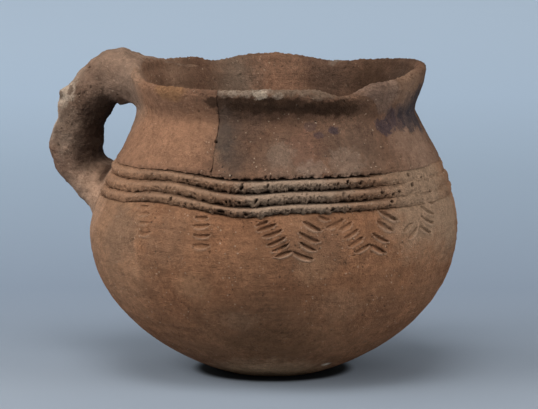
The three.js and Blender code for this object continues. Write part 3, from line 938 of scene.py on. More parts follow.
# Holes where clay has broken away along the laps: azimuth, height, tilt, length and press. The
# heights count from a little below, and the rise sets them on the faces of the laps.
hole_rise = 0.45
coil_holes = (
    (251.2, 76.9, 1.4, 1.4, 0.9), (253.0, 75.6, 0, 1.4, 1.4), (255.0, 75.4, 0, 1.0, 1.5),
    (255.5, 84.0, 1.4, 1.8, 1.0), (262.0, 83.1, 0, 1.8, 1.8), (261.3, 77.8, 0, 1.4, 1.7),
    (259.6, 75.8, 0, 0.8, 0.9), (264.8, 89.1, 1.0, 1.6, 1.6), (267.1, 77.1, 0.6, 1.2, 1.3),
    (270.1, 73.8, 0, 2.8, 1.5), (263.3, 73.8, 0, 1.2, 1.2), (267.7, 88.2, 0.3, 2.4, 0.9),
    (273.2, 87.6, -0.2, 2.4, 1.1), (274.9, 85.6, 1.6, 2.2, 1.9), (276.3, 84.9, 2.0, 2.4, 0.8),
    (275.8, 82.7, 1.6, 1.8, 1.7), (284.5, 83.6, 1.2, 1.4, 1.2), (281.0, 78.0, 1.4, 1.6, 1.3),
    (271.2, 77.3, 0.6, 1.0, 1.2), (275.5, 77.1, 0.4, 1.6, 1.4), (278.3, 73.0, 0, 1.6, 1.5),
    (290.2, 87.3, 0.6, 2.0, 1.3), (305.6, 74.2, 1.0, 1.8, 1.8), (311.7, 73.9, 1.2, 1.4, 1.7),
    (313.4, 73.0, 0, 1.6, 1.2), (316.0, 78.1, 1.4, 1.6, 1.7), (311.7, 84.4, 1.2, 1.4, 1.3),
    (316.5, 83.7, 1.4, 1.8, 1.2), (324.4, 79.6, 0, 1.2, 1.2), (326.2, 78.1, 1.0, 1.4, 1.4),
    (329.3, 78.4, 1.0, 1.4, 1.3), (327.9, 75.9, 0, 1.4, 1.3), (339.6, 81.1, 1.2, 1.6, 1.6),
    (339.1, 85.0, -1.0, 1.4, 1.2), (339.3, 88.6, 0.4, 0.9, 1.0), (349.4, 77.4, 0, 1.2, 1.3),
    (332.3, 79.4, 0, 1.2, 1.3), (309.7, 80.0, 2.0, 2.2, 0.8), (333.0, 88.0, 0.4, 1.4, 1.2),
    (321.4, 82.9, 0.4, 1.6, 1.0), (297.4, 80.9, 1.4, 1.5, 0.7),
)
coil_holes = [(at, high + hole_rise, *rest) for at, high, *rest in coil_holes]
nick_chance = np.random.default_rng(8)


# How far the broadest part of a lap stands out from the wall.
def lap_front(azimuth):
    return 0.9 * coil_relief * crispness(azimuth) ** 0.85


for index, place in enumerate(("lower", "middle", "upper")):
    azimuth = coil_azimuth
    crisp = crispness(azimuth)
    bottom = lap_arc(index, azimuth) - 0.1 + 0.16 * np.minimum(1, crisp / 0.3)
    top = lap_arc(index + 1, azimuth) - 0.06
    proud = coil_relief * (0.02 + 0.98 * crisp ** 0.85)
    proud = proud * (1 + 0.25 * wander(azimuth, (37, 52, 61, 79, 23), 11 + index))
    ragged = 0.45 * crumble(azimuth, 1.9, 21 + index) + 0.55 * crumble(azimuth, 1.0, 31 + index)
    ragged = crisp * (ragged + 0.35 * crumble(azimuth, 0.55, 41 + index))
    under_arcs, under_depths, under_painted_shade = lap_underside(bottom, proud, crisp, ragged)
    share = np.linspace(0, 1, face_rows)[:, None]
    rising = 1 - (0.62 + 0.5 * (1 - crisp)) * np.clip(1 - share / fullest_share, 0, 1) ** 2
    fullness = rising * (1 - np.clip((share - fullest_share) / (1 - fullest_share), 0, 1) ** 2)
    face_arcs = bottom + (top - bottom) * share ** 1.05 - (0.12 + ragged) * (1 - share) ** 6
    top_sink = 0.04 + 1.2 * crisp ** 0.8
    face_depths = top_sink - (proud + top_sink) * fullness
    # Painted shade on each lap face: darker just under the lap above and on the lower part that faces
    # down. Painted highlight: a paler band on the upper slope that faces the light.
    face_painted_shade = 0.85 * smooth_step((crisp - 0.3) / 0.6) * smooth_step((share - 0.7) / 0.16)
    face_painted_shade = face_painted_shade + 0.5 * crisp * smooth_step((0.42 - share) / 0.42)
    face_painted_highlight = 0.55 * crisp * np.exp(-((share - 0.58) / 0.16) ** 2)
    face_crust = 0.22 + 0.78 * crisp * smooth_step((0.66 - share) / 0.4)
    inside = np.linspace(1, 0, 3)[:, None]
    arcs = np.vstack([under_arcs, face_arcs, bottom + (top - bottom) * inside + lap_rise])
    depths = np.vstack([under_depths, face_depths, wall_thickness + 0 * inside + 0 * bottom])
    dirt = np.vstack([under_painted_shade, face_painted_shade, 0 * inside + 0 * bottom])
    outside_rows = under_rows + face_rows
    coil = clay_skin(
        f"pinched_coil_{place}",
        *faced_outward(arcs, depths, azimuth[None, :], outside_rows),
        dirt=dirt,
        crust=np.vstack([crisp + 0 * under_arcs, face_crust, 0 * inside + 0 * bottom]),
        worn=np.vstack([0 * under_arcs, face_painted_highlight, 0 * inside + 0 * bottom]),
    )
    press_marks(coil, coil_holes, 50 + index, belt_clay, 0.95, 1.5, raised=lap_front)
    nicks = []
    for lap, start in ((index, -0.1), (index + 1, -1.0)):
        for at in nick_chance.uniform(205, 345, 105).tolist() + nick_chance.uniform(0, 360, 60).tolist():
            length = nick_chance.uniform(0.5, 2.2)
            middle = lap_height(lap, at) + start + 0.42 * length
            strength = nick_chance.uniform(0.3, 1.2) * (0.15 + 0.85 * crispness(at))
            nicks.append((at, middle, 0.98 * length, length, strength))
    press_marks(coil, nicks, 40 + index, belt_clay, 0.58, 0.9, dirt=0.85, raised=lap_front)
    work_over(
        coil, belt_clay,
        dents=(0.0020, 140.0), scrapes=(0.0002, 200.0), grain=0.0012, pits=(0.0005, 0.1),
        crust=0.0036, proud=0.0004, seed=3.0 + index,
    )
    dress(coil, "belt_clay", f"exposed_coil_{place}")

# Neck and lip
# Broader coils smoothed into a short flared neck. The lip is rounded by wet fingers and waves up
# and down; a chip is missing at its front. It is open where a sherd broke out.
rim_height = 121.9
rim_tilt = 1.2
rim_saddle = 1.7
rim_swells = (
    (30, 60, 2.3), (81, 12, -0.6), (110, 24, 2.2), (135, 12, -1.6), (180, 20, 1.8),
    (222, 25, -1.7), (280, 30, 1.3), (316, 15, -4.4), (338, 16, -0.9),
)
lip_rounding = 3
crack_azimuths = (264.6, 262.7, 263.8)
break_azimuths = (327, 347, 317.6)
crack_width = 0.1
neck_half_rows = 72
neck_lap_relief = 0.85


def rim_top(azimuth):
    turn = np.radians(azimuth)
    height = rim_height + rim_tilt * np.sin(turn) + rim_saddle * np.cos(2 * turn)
    return height + swelling(rim_swells, azimuth) + 0.18 * wander(azimuth, (17, 29, 41, 66), 71)


def rim_arc(azimuth):
    return arc_at(rim_top(azimuth))


def edge_azimuth(azimuths, share):
    low, middle, high = azimuths
    return (1 - share) ** 2 * low + 2 * share * (1 - share) * middle + share**2 * high


# Part of the neck between two broken edges, given as azimuths over the share of its height. Points
# crowd at the edges, which are dirty by the shares given for the left and the right one.
def neck_part(name, left_edge, right_edge, columns, edge_dirt):
    width = math.radians(float(right_edge(0.5) - left_edge(0.5))) * throat_radius
    crowd = np.array([0, 0.12, 0.28, 0.5, 0.8, 1.2]) / width
    along = np.concatenate([crowd, np.linspace(2 / width, 1 - 2 / width, columns - 12), 1 - crowd[::-1]])
    from_left, from_right = along * width, (1 - along) * width
    rows = neck_half_rows
    lip_start = 0.86

    def laid_out(share):
        azimuth = left_edge(share) + (right_edge(share) - left_edge(share)) * along
        bottom = lap_arc(3, azimuth) - 0.1 + 0.16 * np.minimum(1, crispness(azimuth) / 0.3)
        shoulder = rim_arc(azimuth) - lip_rounding
        over = np.clip((share - lip_start) / (1 - lip_start), 0, 1) * np.pi / 2
        return azimuth, bottom, shoulder, over, np.minimum(share / lip_start, 1)

    azimuth, bottom, shoulder, over, risen_share = laid_out(np.linspace(0, 1, rows)[:, None])
    crisp = crispness(azimuth)
    proud = neck_lap_relief * (0.05 + 0.95 * crisp ** 0.8)
    proud = proud * (1 + 0.3 * wander(azimuth, (33, 51, 68, 27), 15))
    ragged = crisp * (0.5 * crumble(azimuth, 1.1, 91) + 0.35 * crumble(azimuth, 0.55, 92))
    under_arcs, under_depths, under_painted_shade = lap_underside(bottom[0], proud[0], crisp[0], ragged[0])
    arcs = bottom + (shoulder - bottom) * risen_share + lip_rounding * np.sin(over)
    risen = arcs - bottom
    hang = proud * (0.6 + 0.4 * np.sin(np.pi / 2 * np.clip(risen / 0.8, 0, 1)))
    fading = np.exp(-(np.clip(risen - 0.8, 0, None) / 2.4) ** 2)
    depths = neck_thickness / 2 * (1 - np.cos(over)) - hang * fading
    arcs = arcs - (0.12 + ragged) * np.exp(-risen / 0.4)
    outer_azimuth = np.vstack([azimuth[:1] + 0 * under_arcs, azimuth])
    arcs, depths = np.vstack([under_arcs, arcs]), np.vstack([under_depths, depths])
    outer_over = np.vstack([np.zeros((under_rows, 1)), over])
    risen_face = np.vstack([np.zeros((under_rows, 1)), smooth_step((risen_share - 0.86) / 0.14)])
    broken = edge_dirt[0] * np.exp(-(from_left / 0.2) ** 2)
    broken = broken + edge_dirt[1] * np.exp(-(from_right / 0.2) ** 2)
    depths = depths + 0.12 * broken
    worn = (0.7 + 0.3 * np.sin(arcs * 1.9)) * (0.45 + 0.55 * smooth_step((arcs - arcs[:1] - 12) / 6))
    dirt = np.vstack([under_painted_shade, 0 * azimuth])
    for away, much in zip((from_left, from_right), edge_dirt):
        dirt = np.maximum(dirt, much * worn * np.exp(-(away / 0.24) ** 2))

    inner_azimuth, bottom, shoulder, inner_over, risen_share = laid_out(
        np.linspace(0, 0.995, rows + under_rows)[:, None],
    )
    inner_arcs = bottom + lap_rise + (shoulder - bottom - lap_rise) * risen_share
    inner_arcs = inner_arcs + lip_rounding * np.sin(inner_over)
    inner_depths = neck_thickness / 2 * (1 + np.cos(inner_over))
    inner_depths = inner_depths + 0.3 * np.sin(2 * np.pi * inner_arcs / 12) * np.cos(inner_over)

    def faced(arcs, depths, azimuth, over, side):
        place, facing = wall_point(arcs, depths, azimuth)
        turned = np.radians(azimuth)
        upward = np.stack([
            -facing[..., 2] * np.cos(turned),
            -facing[..., 2] * np.sin(turned),
            np.hypot(facing[..., 0], facing[..., 1]),
        ], -1)
        turn_up = over[..., None]
        return place, side * np.cos(turn_up) * facing + np.sin(turn_up) * upward

    outer, outer_facing = faced(arcs, depths, outer_azimuth, outer_over, 1)
    inner, inner_facing = faced(inner_arcs, inner_depths, inner_azimuth, inner_over, -1)
    return clay_skin(
        name,
        np.concatenate([outer, inner[::-1]]),
        np.concatenate([outer_facing, inner_facing[::-1]]),
        closed=False,
        dirt=np.vstack([dirt, 0 * inner_arcs]),
        crust=np.vstack([
            smooth_step(outer_over * 1.5 + 0.2 * risen_face + 0 * arcs),
            smooth_step(inner_over[::-1] * 1.1 - 0.3 + 0 * inner_arcs),
        ]),
    )


# Broken edge as a function of the share of the neck's height. The sherd is parted from the neck by
# a hair at the crack on its left, and meets it closely on its right.
def broken_edge(azimuths, side, seed):
    def edge(share):
        jitter = np.degrees(0.26 * wander(360 * share, (3, 7, 13, 22), seed) / throat_radius)
        width = crack_width if azimuths is crack_azimuths else 0
        return edge_azimuth(azimuths, share) + jitter + side * np.degrees(width / 2 / throat_radius)
    return edge


soot = (0.025, 0.013, 0.007)
purple_black = (0.058, 0.039, 0.041)
smoothed_dark = (0.088, 0.045, 0.028)
smoothed_light = (0.200, 0.113, 0.070)
neck_clay = clay_material(
    "smoothed_neck_clay", smoothed_dark, smoothed_light,
    [
        (226, 102, 34, 0.9, (0.285, 0.145, 0.082), 0.75, 0.6),
        (250, 101, 20, 0.9, (0.285, 0.145, 0.082), 0.65, 0.6),
        (238, 115, 24, 2.2, (0.15, 0.080, 0.050), 0.5, 0.8),
        (261.6, 115.6, 4, 1.5, soot, 0.75, 1.3),
        (203, 116, 18, 0.8, (0.255, 0.155, 0.100), 0.85, 0.7),
        (240, 119.5, 12, 2.0, (0.24, 0.122, 0.056), 0.7, 1.2),
        (158, 115, 13, 0.8, (0.235, 0.140, 0.090), 0.7, 0.9),
        (352, 97, 24, 1.0, (0.25, 0.155, 0.105), 0.6, 0.8),
        (336, 104.0, 3.8, 0.9, purple_black, 0.85, 1.6),
        (341, 106.8, 3.8, 0.6, purple_black, 0.8, 1.7),
        (346, 106.6, 4.4, 0.6, purple_black, 0.7, 1.8),
        (353, 108.5, 7, 0.7, (0.035, 0.030, 0.034), 0.75, 1.6),
        (4, 109.5, 9, 0.7, (0.035, 0.030, 0.034), 0.85, 1.4),
        (350, 121, 18, 1.4, (0.25, 0.15, 0.095), 0.6, 0.8),
        (332, 117.5, 13, 1.4, (0.20, 0.14, 0.108), 0.4, 1.4),
        # Painted shade: the next three dark stains darken the inside of the mouth on the right, and the
        # outside behind it.
        (40, 110, 30, 1.0, (0.050, 0.029, 0.019), 0.9, 0.6),
        (62, 111, 22, 1.0, (0.044, 0.023, 0.013), 0.9, 0.8),
        (86, 112, 19, 1.0, (0.062, 0.036, 0.024), 0.8, 1.0),
        (83, 120, 5, 1.0, (0.20, 0.16, 0.125), 0.6, 1.2),
        (108, 108, 18, 1.0, (0.22, 0.115, 0.070), 0.6, 0.9),
        (128, 112, 16, 1.0, (0.15, 0.115, 0.085), 0.55, 1.0),
        (146, 112, 18, 1.0, dull_brown, 0.6, 0.9),
    ],
)
neck_wall = neck_part(
    "neck_wall",
    broken_edge(break_azimuths, 1, 7),
    lambda share: broken_edge(crack_azimuths, -1, 8)(share) + 360,
    560,
    (0.0, 1.0),
)
neck_relief = {
    "dents": (0.0016, 48.0),
    "scrapes": (0.0007, 90.0),
    "grain": 0.0004,
    "pits": (0.0004, 0.10),
    "proud": 0.0004,
    "seed": 9.0,
}


# How far the neck's lap stands out where it is nicked.
def neck_front(azimuth):
    return 0.65 * crispness(azimuth)


neck_pits = [(263.7, 100.2, 0, 1.2, 2.0), (250.0, 90.4, 0, 0.9, 1.0)]
press_marks(neck_wall, neck_pits, 61, neck_clay, 0.8, 1.0)
lap_nicks = [(264.1, 88.9, 1.2, 1.3, 2.0), (275.2, 87.4, 0.3, 1.2, 1.6)]
for at in nick_chance.uniform(215, 335, 95).tolist() + nick_chance.uniform(0, 360, 50).tolist():
    length = nick_chance.uniform(0.5, 1.8)
    strength = nick_chance.uniform(0.4, 1.2) * crispness(at)
    lap_nicks.append((at, lap_height(3, at) - 0.2 + 0.42 * length, 0.98 * length, length, strength))
press_marks(neck_wall, lap_nicks, 62, neck_clay, 0.42, 0.9, raised=neck_front)
work_over(neck_wall, neck_clay, **neck_relief)
dress(neck_wall, "neck_clay", "neck_coil_1", "neck_coil_2", "rim_coil")

# Refitted sherd
# The piece that broke out of the neck was found and stuck back. It lay apart from the rest, so it
# is greyer along the break, with soot under the lip and pale crust on it.
crack_grey = (0.062, 0.046, 0.036)
sherd_stains = [
    (264.8, 97, 4.5, 0.35, (0.26, 0.145, 0.085), 0.7, 0.8),
    (267, 102, 8, 0.40, crack_grey, 0.85, 0.6),
    (272, 94, 8, 0.8, crack_grey, 0.55, 0.9),
    (285, 104, 20, 0.9, (0.105, 0.056, 0.034), 0.4, 0.8),
    (292, 93, 16, 1.2, (0.155, 0.10, 0.070), 0.5, 0.9),
    (318, 96, 16, 0.9, (0.155, 0.098, 0.066), 0.5, 0.8),
    (298, 98, 9, 1.0, (0.16, 0.078, 0.050), 0.45, 1.6),
    (308, 99, 7, 1.0, (0.075, 0.045, 0.031), 0.4, 1.6),
    (313, 92, 9, 1.3, (0.21, 0.145, 0.105), 0.45, 1.7),
    (289, 96, 6, 1.0, (0.20, 0.14, 0.10), 0.4, 1.7),
    (322, 101, 8, 1.0, (0.085, 0.050, 0.034), 0.4, 1.6),
    (300, 90, 7, 1.6, (0.22, 0.155, 0.115), 0.4, 1.8),
    (277, 106, 7, 1.0, (0.070, 0.044, 0.031), 0.4, 1.6),
    (310.5, 104.6, 2.6, 1.3, purple_black, 0.85, 1.4),
    (304.0, 103.0, 2.4, 1.5, purple_black, 0.65, 1.6),
    (301, 106.4, 3.0, 1.5, purple_black, 0.4, 1.7),
    (333, 104.8, 2.6, 0.8, purple_black, 0.75, 1.6),
    (336, 104.0, 3.8, 0.9, purple_black, 0.85, 1.6),
]
for at, high in (
    (264, 116.4), (269, 115.4), (276, 115.3), (283, 114.8), (289, 115.1), (296, 114.4), (303, 114.2),
    (309, 113.2), (314, 113.4), (320, 112.8), (273, 112.6), (286, 112.2), (300, 111.6),
):
    sherd_stains.append((at, high, 7.4, 1.8, soot, 0.42 if at < 274 or high < 113 else 0.64, 1.5))
for at in (266, 274, 282, 290, 298, 306, 314):
    lip_tint = (0.215, 0.158, 0.115) if at < 286 else (0.165, 0.11, 0.075)
    sherd_stains.append((at, 122.6 if at < 300 else 121.0, 7.2, 1.5, lip_tint, 0.85, 1.4))
sherd_stains.append((281, 119.2, 3.2, 1.5, (0.44, 0.36, 0.27), 0.55, 1.9))
sherd_stains.append((270, 119.4, 2.4, 1.4, (0.36, 0.29, 0.22), 0.3, 1.9))
sherd_stains.append((288, 119.0, 2.2, 1.4, (0.36, 0.29, 0.22), 0.3, 1.9))
sherd_clay = clay_material("weathered_sherd_clay", smoothed_dark, smoothed_light, sherd_stains, grit=1.5)
mended_sherd = neck_part(
    "mended_sherd",
    broken_edge(crack_azimuths, 1, 8),
    broken_edge(break_azimuths, -1, 7),
    170,
    (1.0, 0.0),
)
press_marks(mended_sherd, neck_pits, 61, sherd_clay, 0.5, 0.8)
press_marks(mended_sherd, lap_nicks, 62, sherd_clay, 0.42, 0.9, raised=neck_front)
work_over(mended_sherd, sherd_clay, **neck_relief)
dress(mended_sherd, "sherd_clay", "neck_sherd")

# Handle
# A thick roll, squeezed flat, its lower end pegged through the wall and its upper end laid over the
# rim. Wads of clay are smeared round both roots. It is lumpy, and worn pale where it was held.
handle_reach = 21.8
handle_root_drop = 3.4
handle_foot_drop = 1
handle_foot_sink = 2
handle_thickness = 19.4
handle_width = 24
handle_squareness = 2.4
handle_rings = 350
handle_sides = 240
rim_root_height = rim_height - handle_root_drop
foot_height = belt_bottom_height - handle_foot_drop
shoulder_radius = outline_point(arc_at(foot_height), 0)[0]

# Knots of the spine: share of the reach, share of the height, shares of thickness and of width.
spine_places = (
    (-0.16, 1, 0.86, 1.05), (0, 1, 0.86, 1.02), (0.53, 1.01, 1.02, 1.02), (0.77, 0.94, 0.97, 1),
    (0.99, 0.705, 0.99, 1), (0.97, 0.565, 0.9, 0.96), (0.9, 0.36, 1, 1.02), (0.65, 0.18, 0.92, 0.97),
    (0.19, 0.05, 0.8, 0.9),
)
foot_girths = (0.84, 0.88)
knots = np.array([
    (
        shoulder_radius + (throat_radius - shoulder_radius) * up + out * handle_reach,
        foot_height + (rim_root_height - foot_height) * up,
    )
    for out, up, _, _ in spine_places
] + [(shoulder_radius - wall_thickness + 1.2, foot_height - handle_foot_sink)])
girths = np.array([knot[2:] for knot in spine_places] + [foot_girths])


# Smooth path through the knots, paced by the root of their spacing so that it never overshoots.
def smooth_path(knots, steps_each):
    ends = np.vstack([2 * knots[0] - knots[1], knots, 2 * knots[-1] - knots[-2]])
    gaps = np.linalg.norm(np.diff(ends, axis=0), axis=1) ** 0.5
    path, along = [], []
    for i in range(len(knots) - 1):
        before, start, end, after = ends[i:i + 4]
        gap_before, gap, gap_after = gaps[i:i + 3]
        leave = (start - before) / gap_before - (end - before) / (gap_before + gap) + (end - start) / gap
        enter = (end - start) / gap - (after - start) / (gap + gap_after) + (after - end) / gap_after
        leave, enter = leave * gap, enter * gap
        share = np.linspace(0, 1, steps_each, endpoint=False)[:, None]
        bend = 3 * (end - start) - 2 * leave - enter
        twist = 2 * (start - end) + leave + enter
        path.append(start + share * (leave + share * (bend + share * twist)))
        along.append(i + share[:, 0])
    return np.vstack([*path, knots[-1:]]), np.append(np.concatenate(along), len(knots) - 1)


fine_spine, fine_along = smooth_path(knots, 60)
fine_arcs = np.concatenate([[0], np.cumsum(np.hypot(*np.diff(fine_spine, axis=0).T))])
spine_arcs = np.linspace(0, fine_arcs[-1], handle_rings)
spine = np.stack([np.interp(spine_arcs, fine_arcs, column) for column in fine_spine.T], 1)
along = np.interp(spine_arcs, fine_arcs, fine_along)
spine_tangents = np.gradient(spine, spine_arcs, axis=0)
spine_tangents /= np.linalg.norm(spine_tangents, axis=1)[:, None]
knot = np.minimum(along.astype(int), len(girths) - 2)
girth = girths[knot] + (girths[knot + 1] - girths[knot]) * smooth_step(along - knot)[:, None]
turns = np.linspace(0, 2 * np.pi, handle_sides, endpoint=False)[None, :]
swell = np.abs(np.cos(turns)) ** handle_squareness + np.abs(np.sin(turns)) ** handle_squareness
swell = swell ** (-1 / handle_squareness)

# Lumps left by the hand: place along the spine, turn round it, reach of each and height. A turn of
# 0 is the outer side, 90 the side that faces front and 180 the inner side.
handle_lumps = (
    (11, 0, 9, 80, 1.2), (11, 180, 9, 70, 2.4), (20, 180, 6, 60, 1.3), (36, 180, 10, 60, 0.8),
    (50, 180, 8, 60, 0.6), (34.5, 15, 5, 60, 0.5), (41, 10, 3.5, 60, -0.7), (49, 15, 7, 60, 0.8),
    (57, 15, 5, 60, 0.6), (64.5, 0, 2.4, 70, -0.6), (69, 0, 6, 70, 2.6), (75, 0, 5, 70, 2.0),
    (24, 60, 6, 30, -0.8), (31, 95, 5, 25, 0.7), (45, 75, 6, 30, 0.8), (55, 60, 4, 25, -0.7),
    (58, 110, 5, 30, 0.8), (16, 90, 6, 35, -0.6), (28, 270, 8, 40, -0.7), (44, 260, 7, 40, 0.8),
    (60, 280, 6, 40, 0.7), (34, 28, 2.4, 14, 1.1), (36, 44, 1.7, 9, -1.5), (32, 42, 1.5, 9, -1.0),
    (38.5, 18, 2, 12, 0.7), (52, 30, 3, 15, 0.6), (46, 5, 2.5, 20, -0.5),
)
lumps = 0 * turns + 0 * spine_arcs[:, None]
for at, side, reach, wide, rise in handle_lumps:
    round_by = np.abs((np.degrees(turns) - side + 180) % 360 - 180)
    near = np.exp(-(((spine_arcs[:, None] - at) / reach) ** 2)) * np.exp(-((round_by / wide) ** 2))
    lumps = lumps + rise * near
half_across = (girth[:, 0] * handle_thickness / 2)[:, None] + lumps
half_wide = (girth[:, 1] * handle_width / 2)[:, None] + lumps
inner_side = np.stack([spine_tangents[:, 1], -spine_tangents[:, 0]], 1)


# Points of the roll in millimetres, with the roll grown across and sideways.
def roll_points(grown_across, grown_aside):
    away = -(half_across + grown_across) * swell * np.cos(turns)
    radius = spine[:, 0, None] + inner_side[:, 0, None] * away
    height = spine[:, 1, None] + inner_side[:, 1, None] * away
    aside = (half_wide + grown_aside) * swell * np.sin(turns)
    return radius, height, aside


# The clay is smeared onto the wall: near it the roll swells as a round fillet does, and what is
# smeared keeps its distance from the wall. At the rim it also spreads along the lip.
fillet = 8.0
rim_wad_lift = 12
rim_wad_spread = 14
rim_wad_flare = 6
foot_wad_lift = 6
foot_wad_spread = 9
neck_inside_radius = 54.2
lip_top_radius = 58.5
lip_half_width = 4.6
lip_side_height = 121
lip_crown = 5.4
roll_crown = 3.6
outermost = 93.9
outer_ease = 1.1
wall_end_height = 119.5


def wall_radius(height):
    leaning = smooth_step((height - lean_from_height) / lean_over_height)
    leaning = lean_across * math.cos(lean_azimuth) * leaning
    return outline_point(arc_at(np.minimum(height, wall_end_height)), 0)[0] - leaning


radius, height, aside = roll_points(0, 0)
upper_half = spine_arcs[:, None] < 40
off_wall = np.where(upper_half, radius, np.hypot(radius, aside)) - wall_radius(height)
closeness = 1 - np.clip((off_wall - 0.2) / fillet, 0, 1)
swollen = 1 - np.sqrt(1 - closeness**2)
below_lip = smooth_step((119 - height) / 8)
skirt = rim_wad_spread + rim_wad_flare * smooth_step((height - 108) / 9)
skirt = skirt * (1 - smooth_step((height - 120.5) / 6.5))
_, height, aside = roll_points(
    swollen * np.where(upper_half, rim_wad_lift * below_lip, foot_wad_lift),
    swollen * np.where(upper_half, skirt, foot_wad_spread),
)
radius = wall_radius(height) + off_wall
wrapped = np.where(upper_half, smooth_step(closeness * 1.6), 1)
radius = radius - wrapped * (radius - np.sqrt(np.maximum(radius**2 - aside**2, 400)))
radius = radius - 1.1 * closeness * upper_half * smooth_step((np.abs(aside) - 13) / 9)
from_axis = np.hypot(radius, aside)

# The clay ends in a round edge at the mouth, rises over the lip no higher than the roll, and thins
# out along the rim. The crest and the outermost bulge are eased, so that nothing is cut off flat.
past_lip_top = from_axis - lip_top_radius
rounding = np.sqrt(np.clip(1 - (past_lip_top / lip_half_width) ** 2, 0, 1))
mouth_edge = lip_side_height + lip_crown * rounding
mouth_edge = mouth_edge - 6 * np.maximum(0, neck_inside_radius - from_axis)
roll_top = lip_side_height + lip_crown + roll_crown * smooth_step(past_lip_top / 6.5)
crest = np.where(past_lip_top < 0, mouth_edge, roll_top)
along_rim = rim_top(180 + np.degrees(np.arctan2(aside, radius))) - 2.2
crest = np.minimum(crest, along_rim + 7 * np.exp(-(aside / 16) ** 2))
eased = crest - 1.5 * np.exp(-(height - crest + 1.5) / 1.5)
height = np.where(height > crest - 1.5, eased, height)
eased = outermost + outer_ease * (1 - np.exp(-(radius - outermost) / outer_ease))
radius = np.where(radius > outermost, eased, radius)
places = np.stack([-radius, -aside, height], -1) * mm
middle = np.stack([-spine[:, 0], 0 * spine[:, 0], spine[:, 1]], -1)[:, None, :] * mm
outward = places - middle
outward /= np.linalg.norm(outward, axis=-1, keepdims=True)


def on_roll(at, side):
    ring = int(np.argmin(np.abs(spine_arcs - at)))
    return places[ring, int(side / 360 * handle_sides) % handle_sides]


# The crook under the loop is darkened in colour: a painted shadow where the loop meets the wall.
upper_crook = (-0.0680, -0.0090, 0.0825)
lower_crook = (-0.0690, -0.0118, 0.0778)
painted_crook_shadow = (0.045, 0.023, 0.014)
pale_worn = (0.27, 0.172, 0.117)
# Painted shade: the inner side of the roll and the edges beside it are darkened in colour, partly soot and
# partly the shade that falls between the loop and the pot.
inner_angle = np.abs(np.degrees(turns) - 180)
soot_and_painted_shade = smooth_step((100 - inner_angle) / 45) * smooth_step((spine_arcs[:, None] - 15) / 9)
soot_and_painted_shade = 0.78 * soot_and_painted_shade * smooth_step((71 - spine_arcs[:, None]) / 6)
handle_clay = clay_material(
    "worn_handle_clay", (0.110, 0.065, 0.043), (0.290, 0.190, 0.133),
    [
        (12, 20, 17, 1.0, pale_worn, 0.6, 0.9),
        (6, 60, 12, 1.0, pale_worn, 0.5, 0.9),
        (42, 20, 16, 0.7, (0.36, 0.26, 0.19), 0.65, 0.9),
        (26, 25, 9, 1.0, (0.33, 0.23, 0.165), 0.6, 1.0),
        (22, 75, 8, 1.0, (0.15, 0.090, 0.060), 0.5, 1.1),
        (31, 78, 8, 1.0, dull_brown, 0.5, 1.1),
        (46, 62, 9, 0.8, (0.14, 0.095, 0.068), 0.5, 1.1),
        (33, 40, 7.5, 1.0, (0.43, 0.335, 0.25), 0.7, 1.4),
        (36, 52, 3.4, 1.0, (0.44, 0.345, 0.26), 0.7, 1.5),
        (35, 30, 2.2, 1.0, (0.13, 0.085, 0.058), 0.7, 1.5),
        (31, 50, 2.6, 1.0, dull_brown, 0.7, 1.5),
        (47, 5, 12, 0.8, (0.46, 0.35, 0.265), 0.85, 0.9),
        (40, 66, 7, 0.8, (0.12, 0.075, 0.050), 0.5, 1.3),
        (50, 50, 6, 0.9, (0.13, 0.080, 0.053), 0.45, 1.4),
        (55, 40, 8, 0.9, (0.17, 0.088, 0.055), 0.55, 1.1),
        (58, 10, 6, 0.9, (0.12, 0.066, 0.044), 0.6, 1.0),
        (62, 75, 9, 0.9, (0.12, 0.066, 0.044), 0.6, 0.9),
        (69, 70, 10, 0.8, (0.46, 0.30, 0.205), 0.8, 0.7),
        (75, 90, 12, 0.8, (0.37, 0.225, 0.145), 0.85, 0.6),
        (4, 100, 11, 1.0, (0.255, 0.155, 0.100), 0.85, 0.7),
        (4, 260, 12, 1.0, (0.235, 0.140, 0.090), 0.8, 0.8),
        (74, 270, 13, 1.0, (0.30, 0.18, 0.115), 0.8, 0.7),
        (*upper_crook, 6.5, 0.8, painted_crook_shadow, 0.9, 0.7),
        (*lower_crook, 4.5, 0.8, painted_crook_shadow, 0.8, 0.8),
    ],
    grit=1.3, bump=0.0012, wiped=0.1, spot=on_roll,
)

faces = quads(handle_rings, handle_sides, False, True)
faces.append(tuple(range(handle_sides))[::-1])
faces.append(tuple((handle_rings - 1) * handle_sides + side for side in range(handle_sides)))
handle_roll = new_piece("handle_roll", places.reshape(-1, 3), [], faces, outward.reshape(-1, 3))
crusted = 0.03 + 0.5 * np.exp(-((spine_arcs[:, None] - 34) / 6) ** 2) + 0 * turns
add_field(handle_roll, "dirt", soot_and_painted_shade)
add_field(handle_roll, "crust", crusted)
work_over(
    handle_roll, handle_clay,
    dents=(0.0036, 140.0), scrapes=(0.0, 90.0), grain=0.0005, pits=(0.0007, 0.06),
    proud=0.0006, seed=21.0,
)
dress(handle_roll, "handle_clay", "handle", "handle_body_wad", "handle_rim_wad")

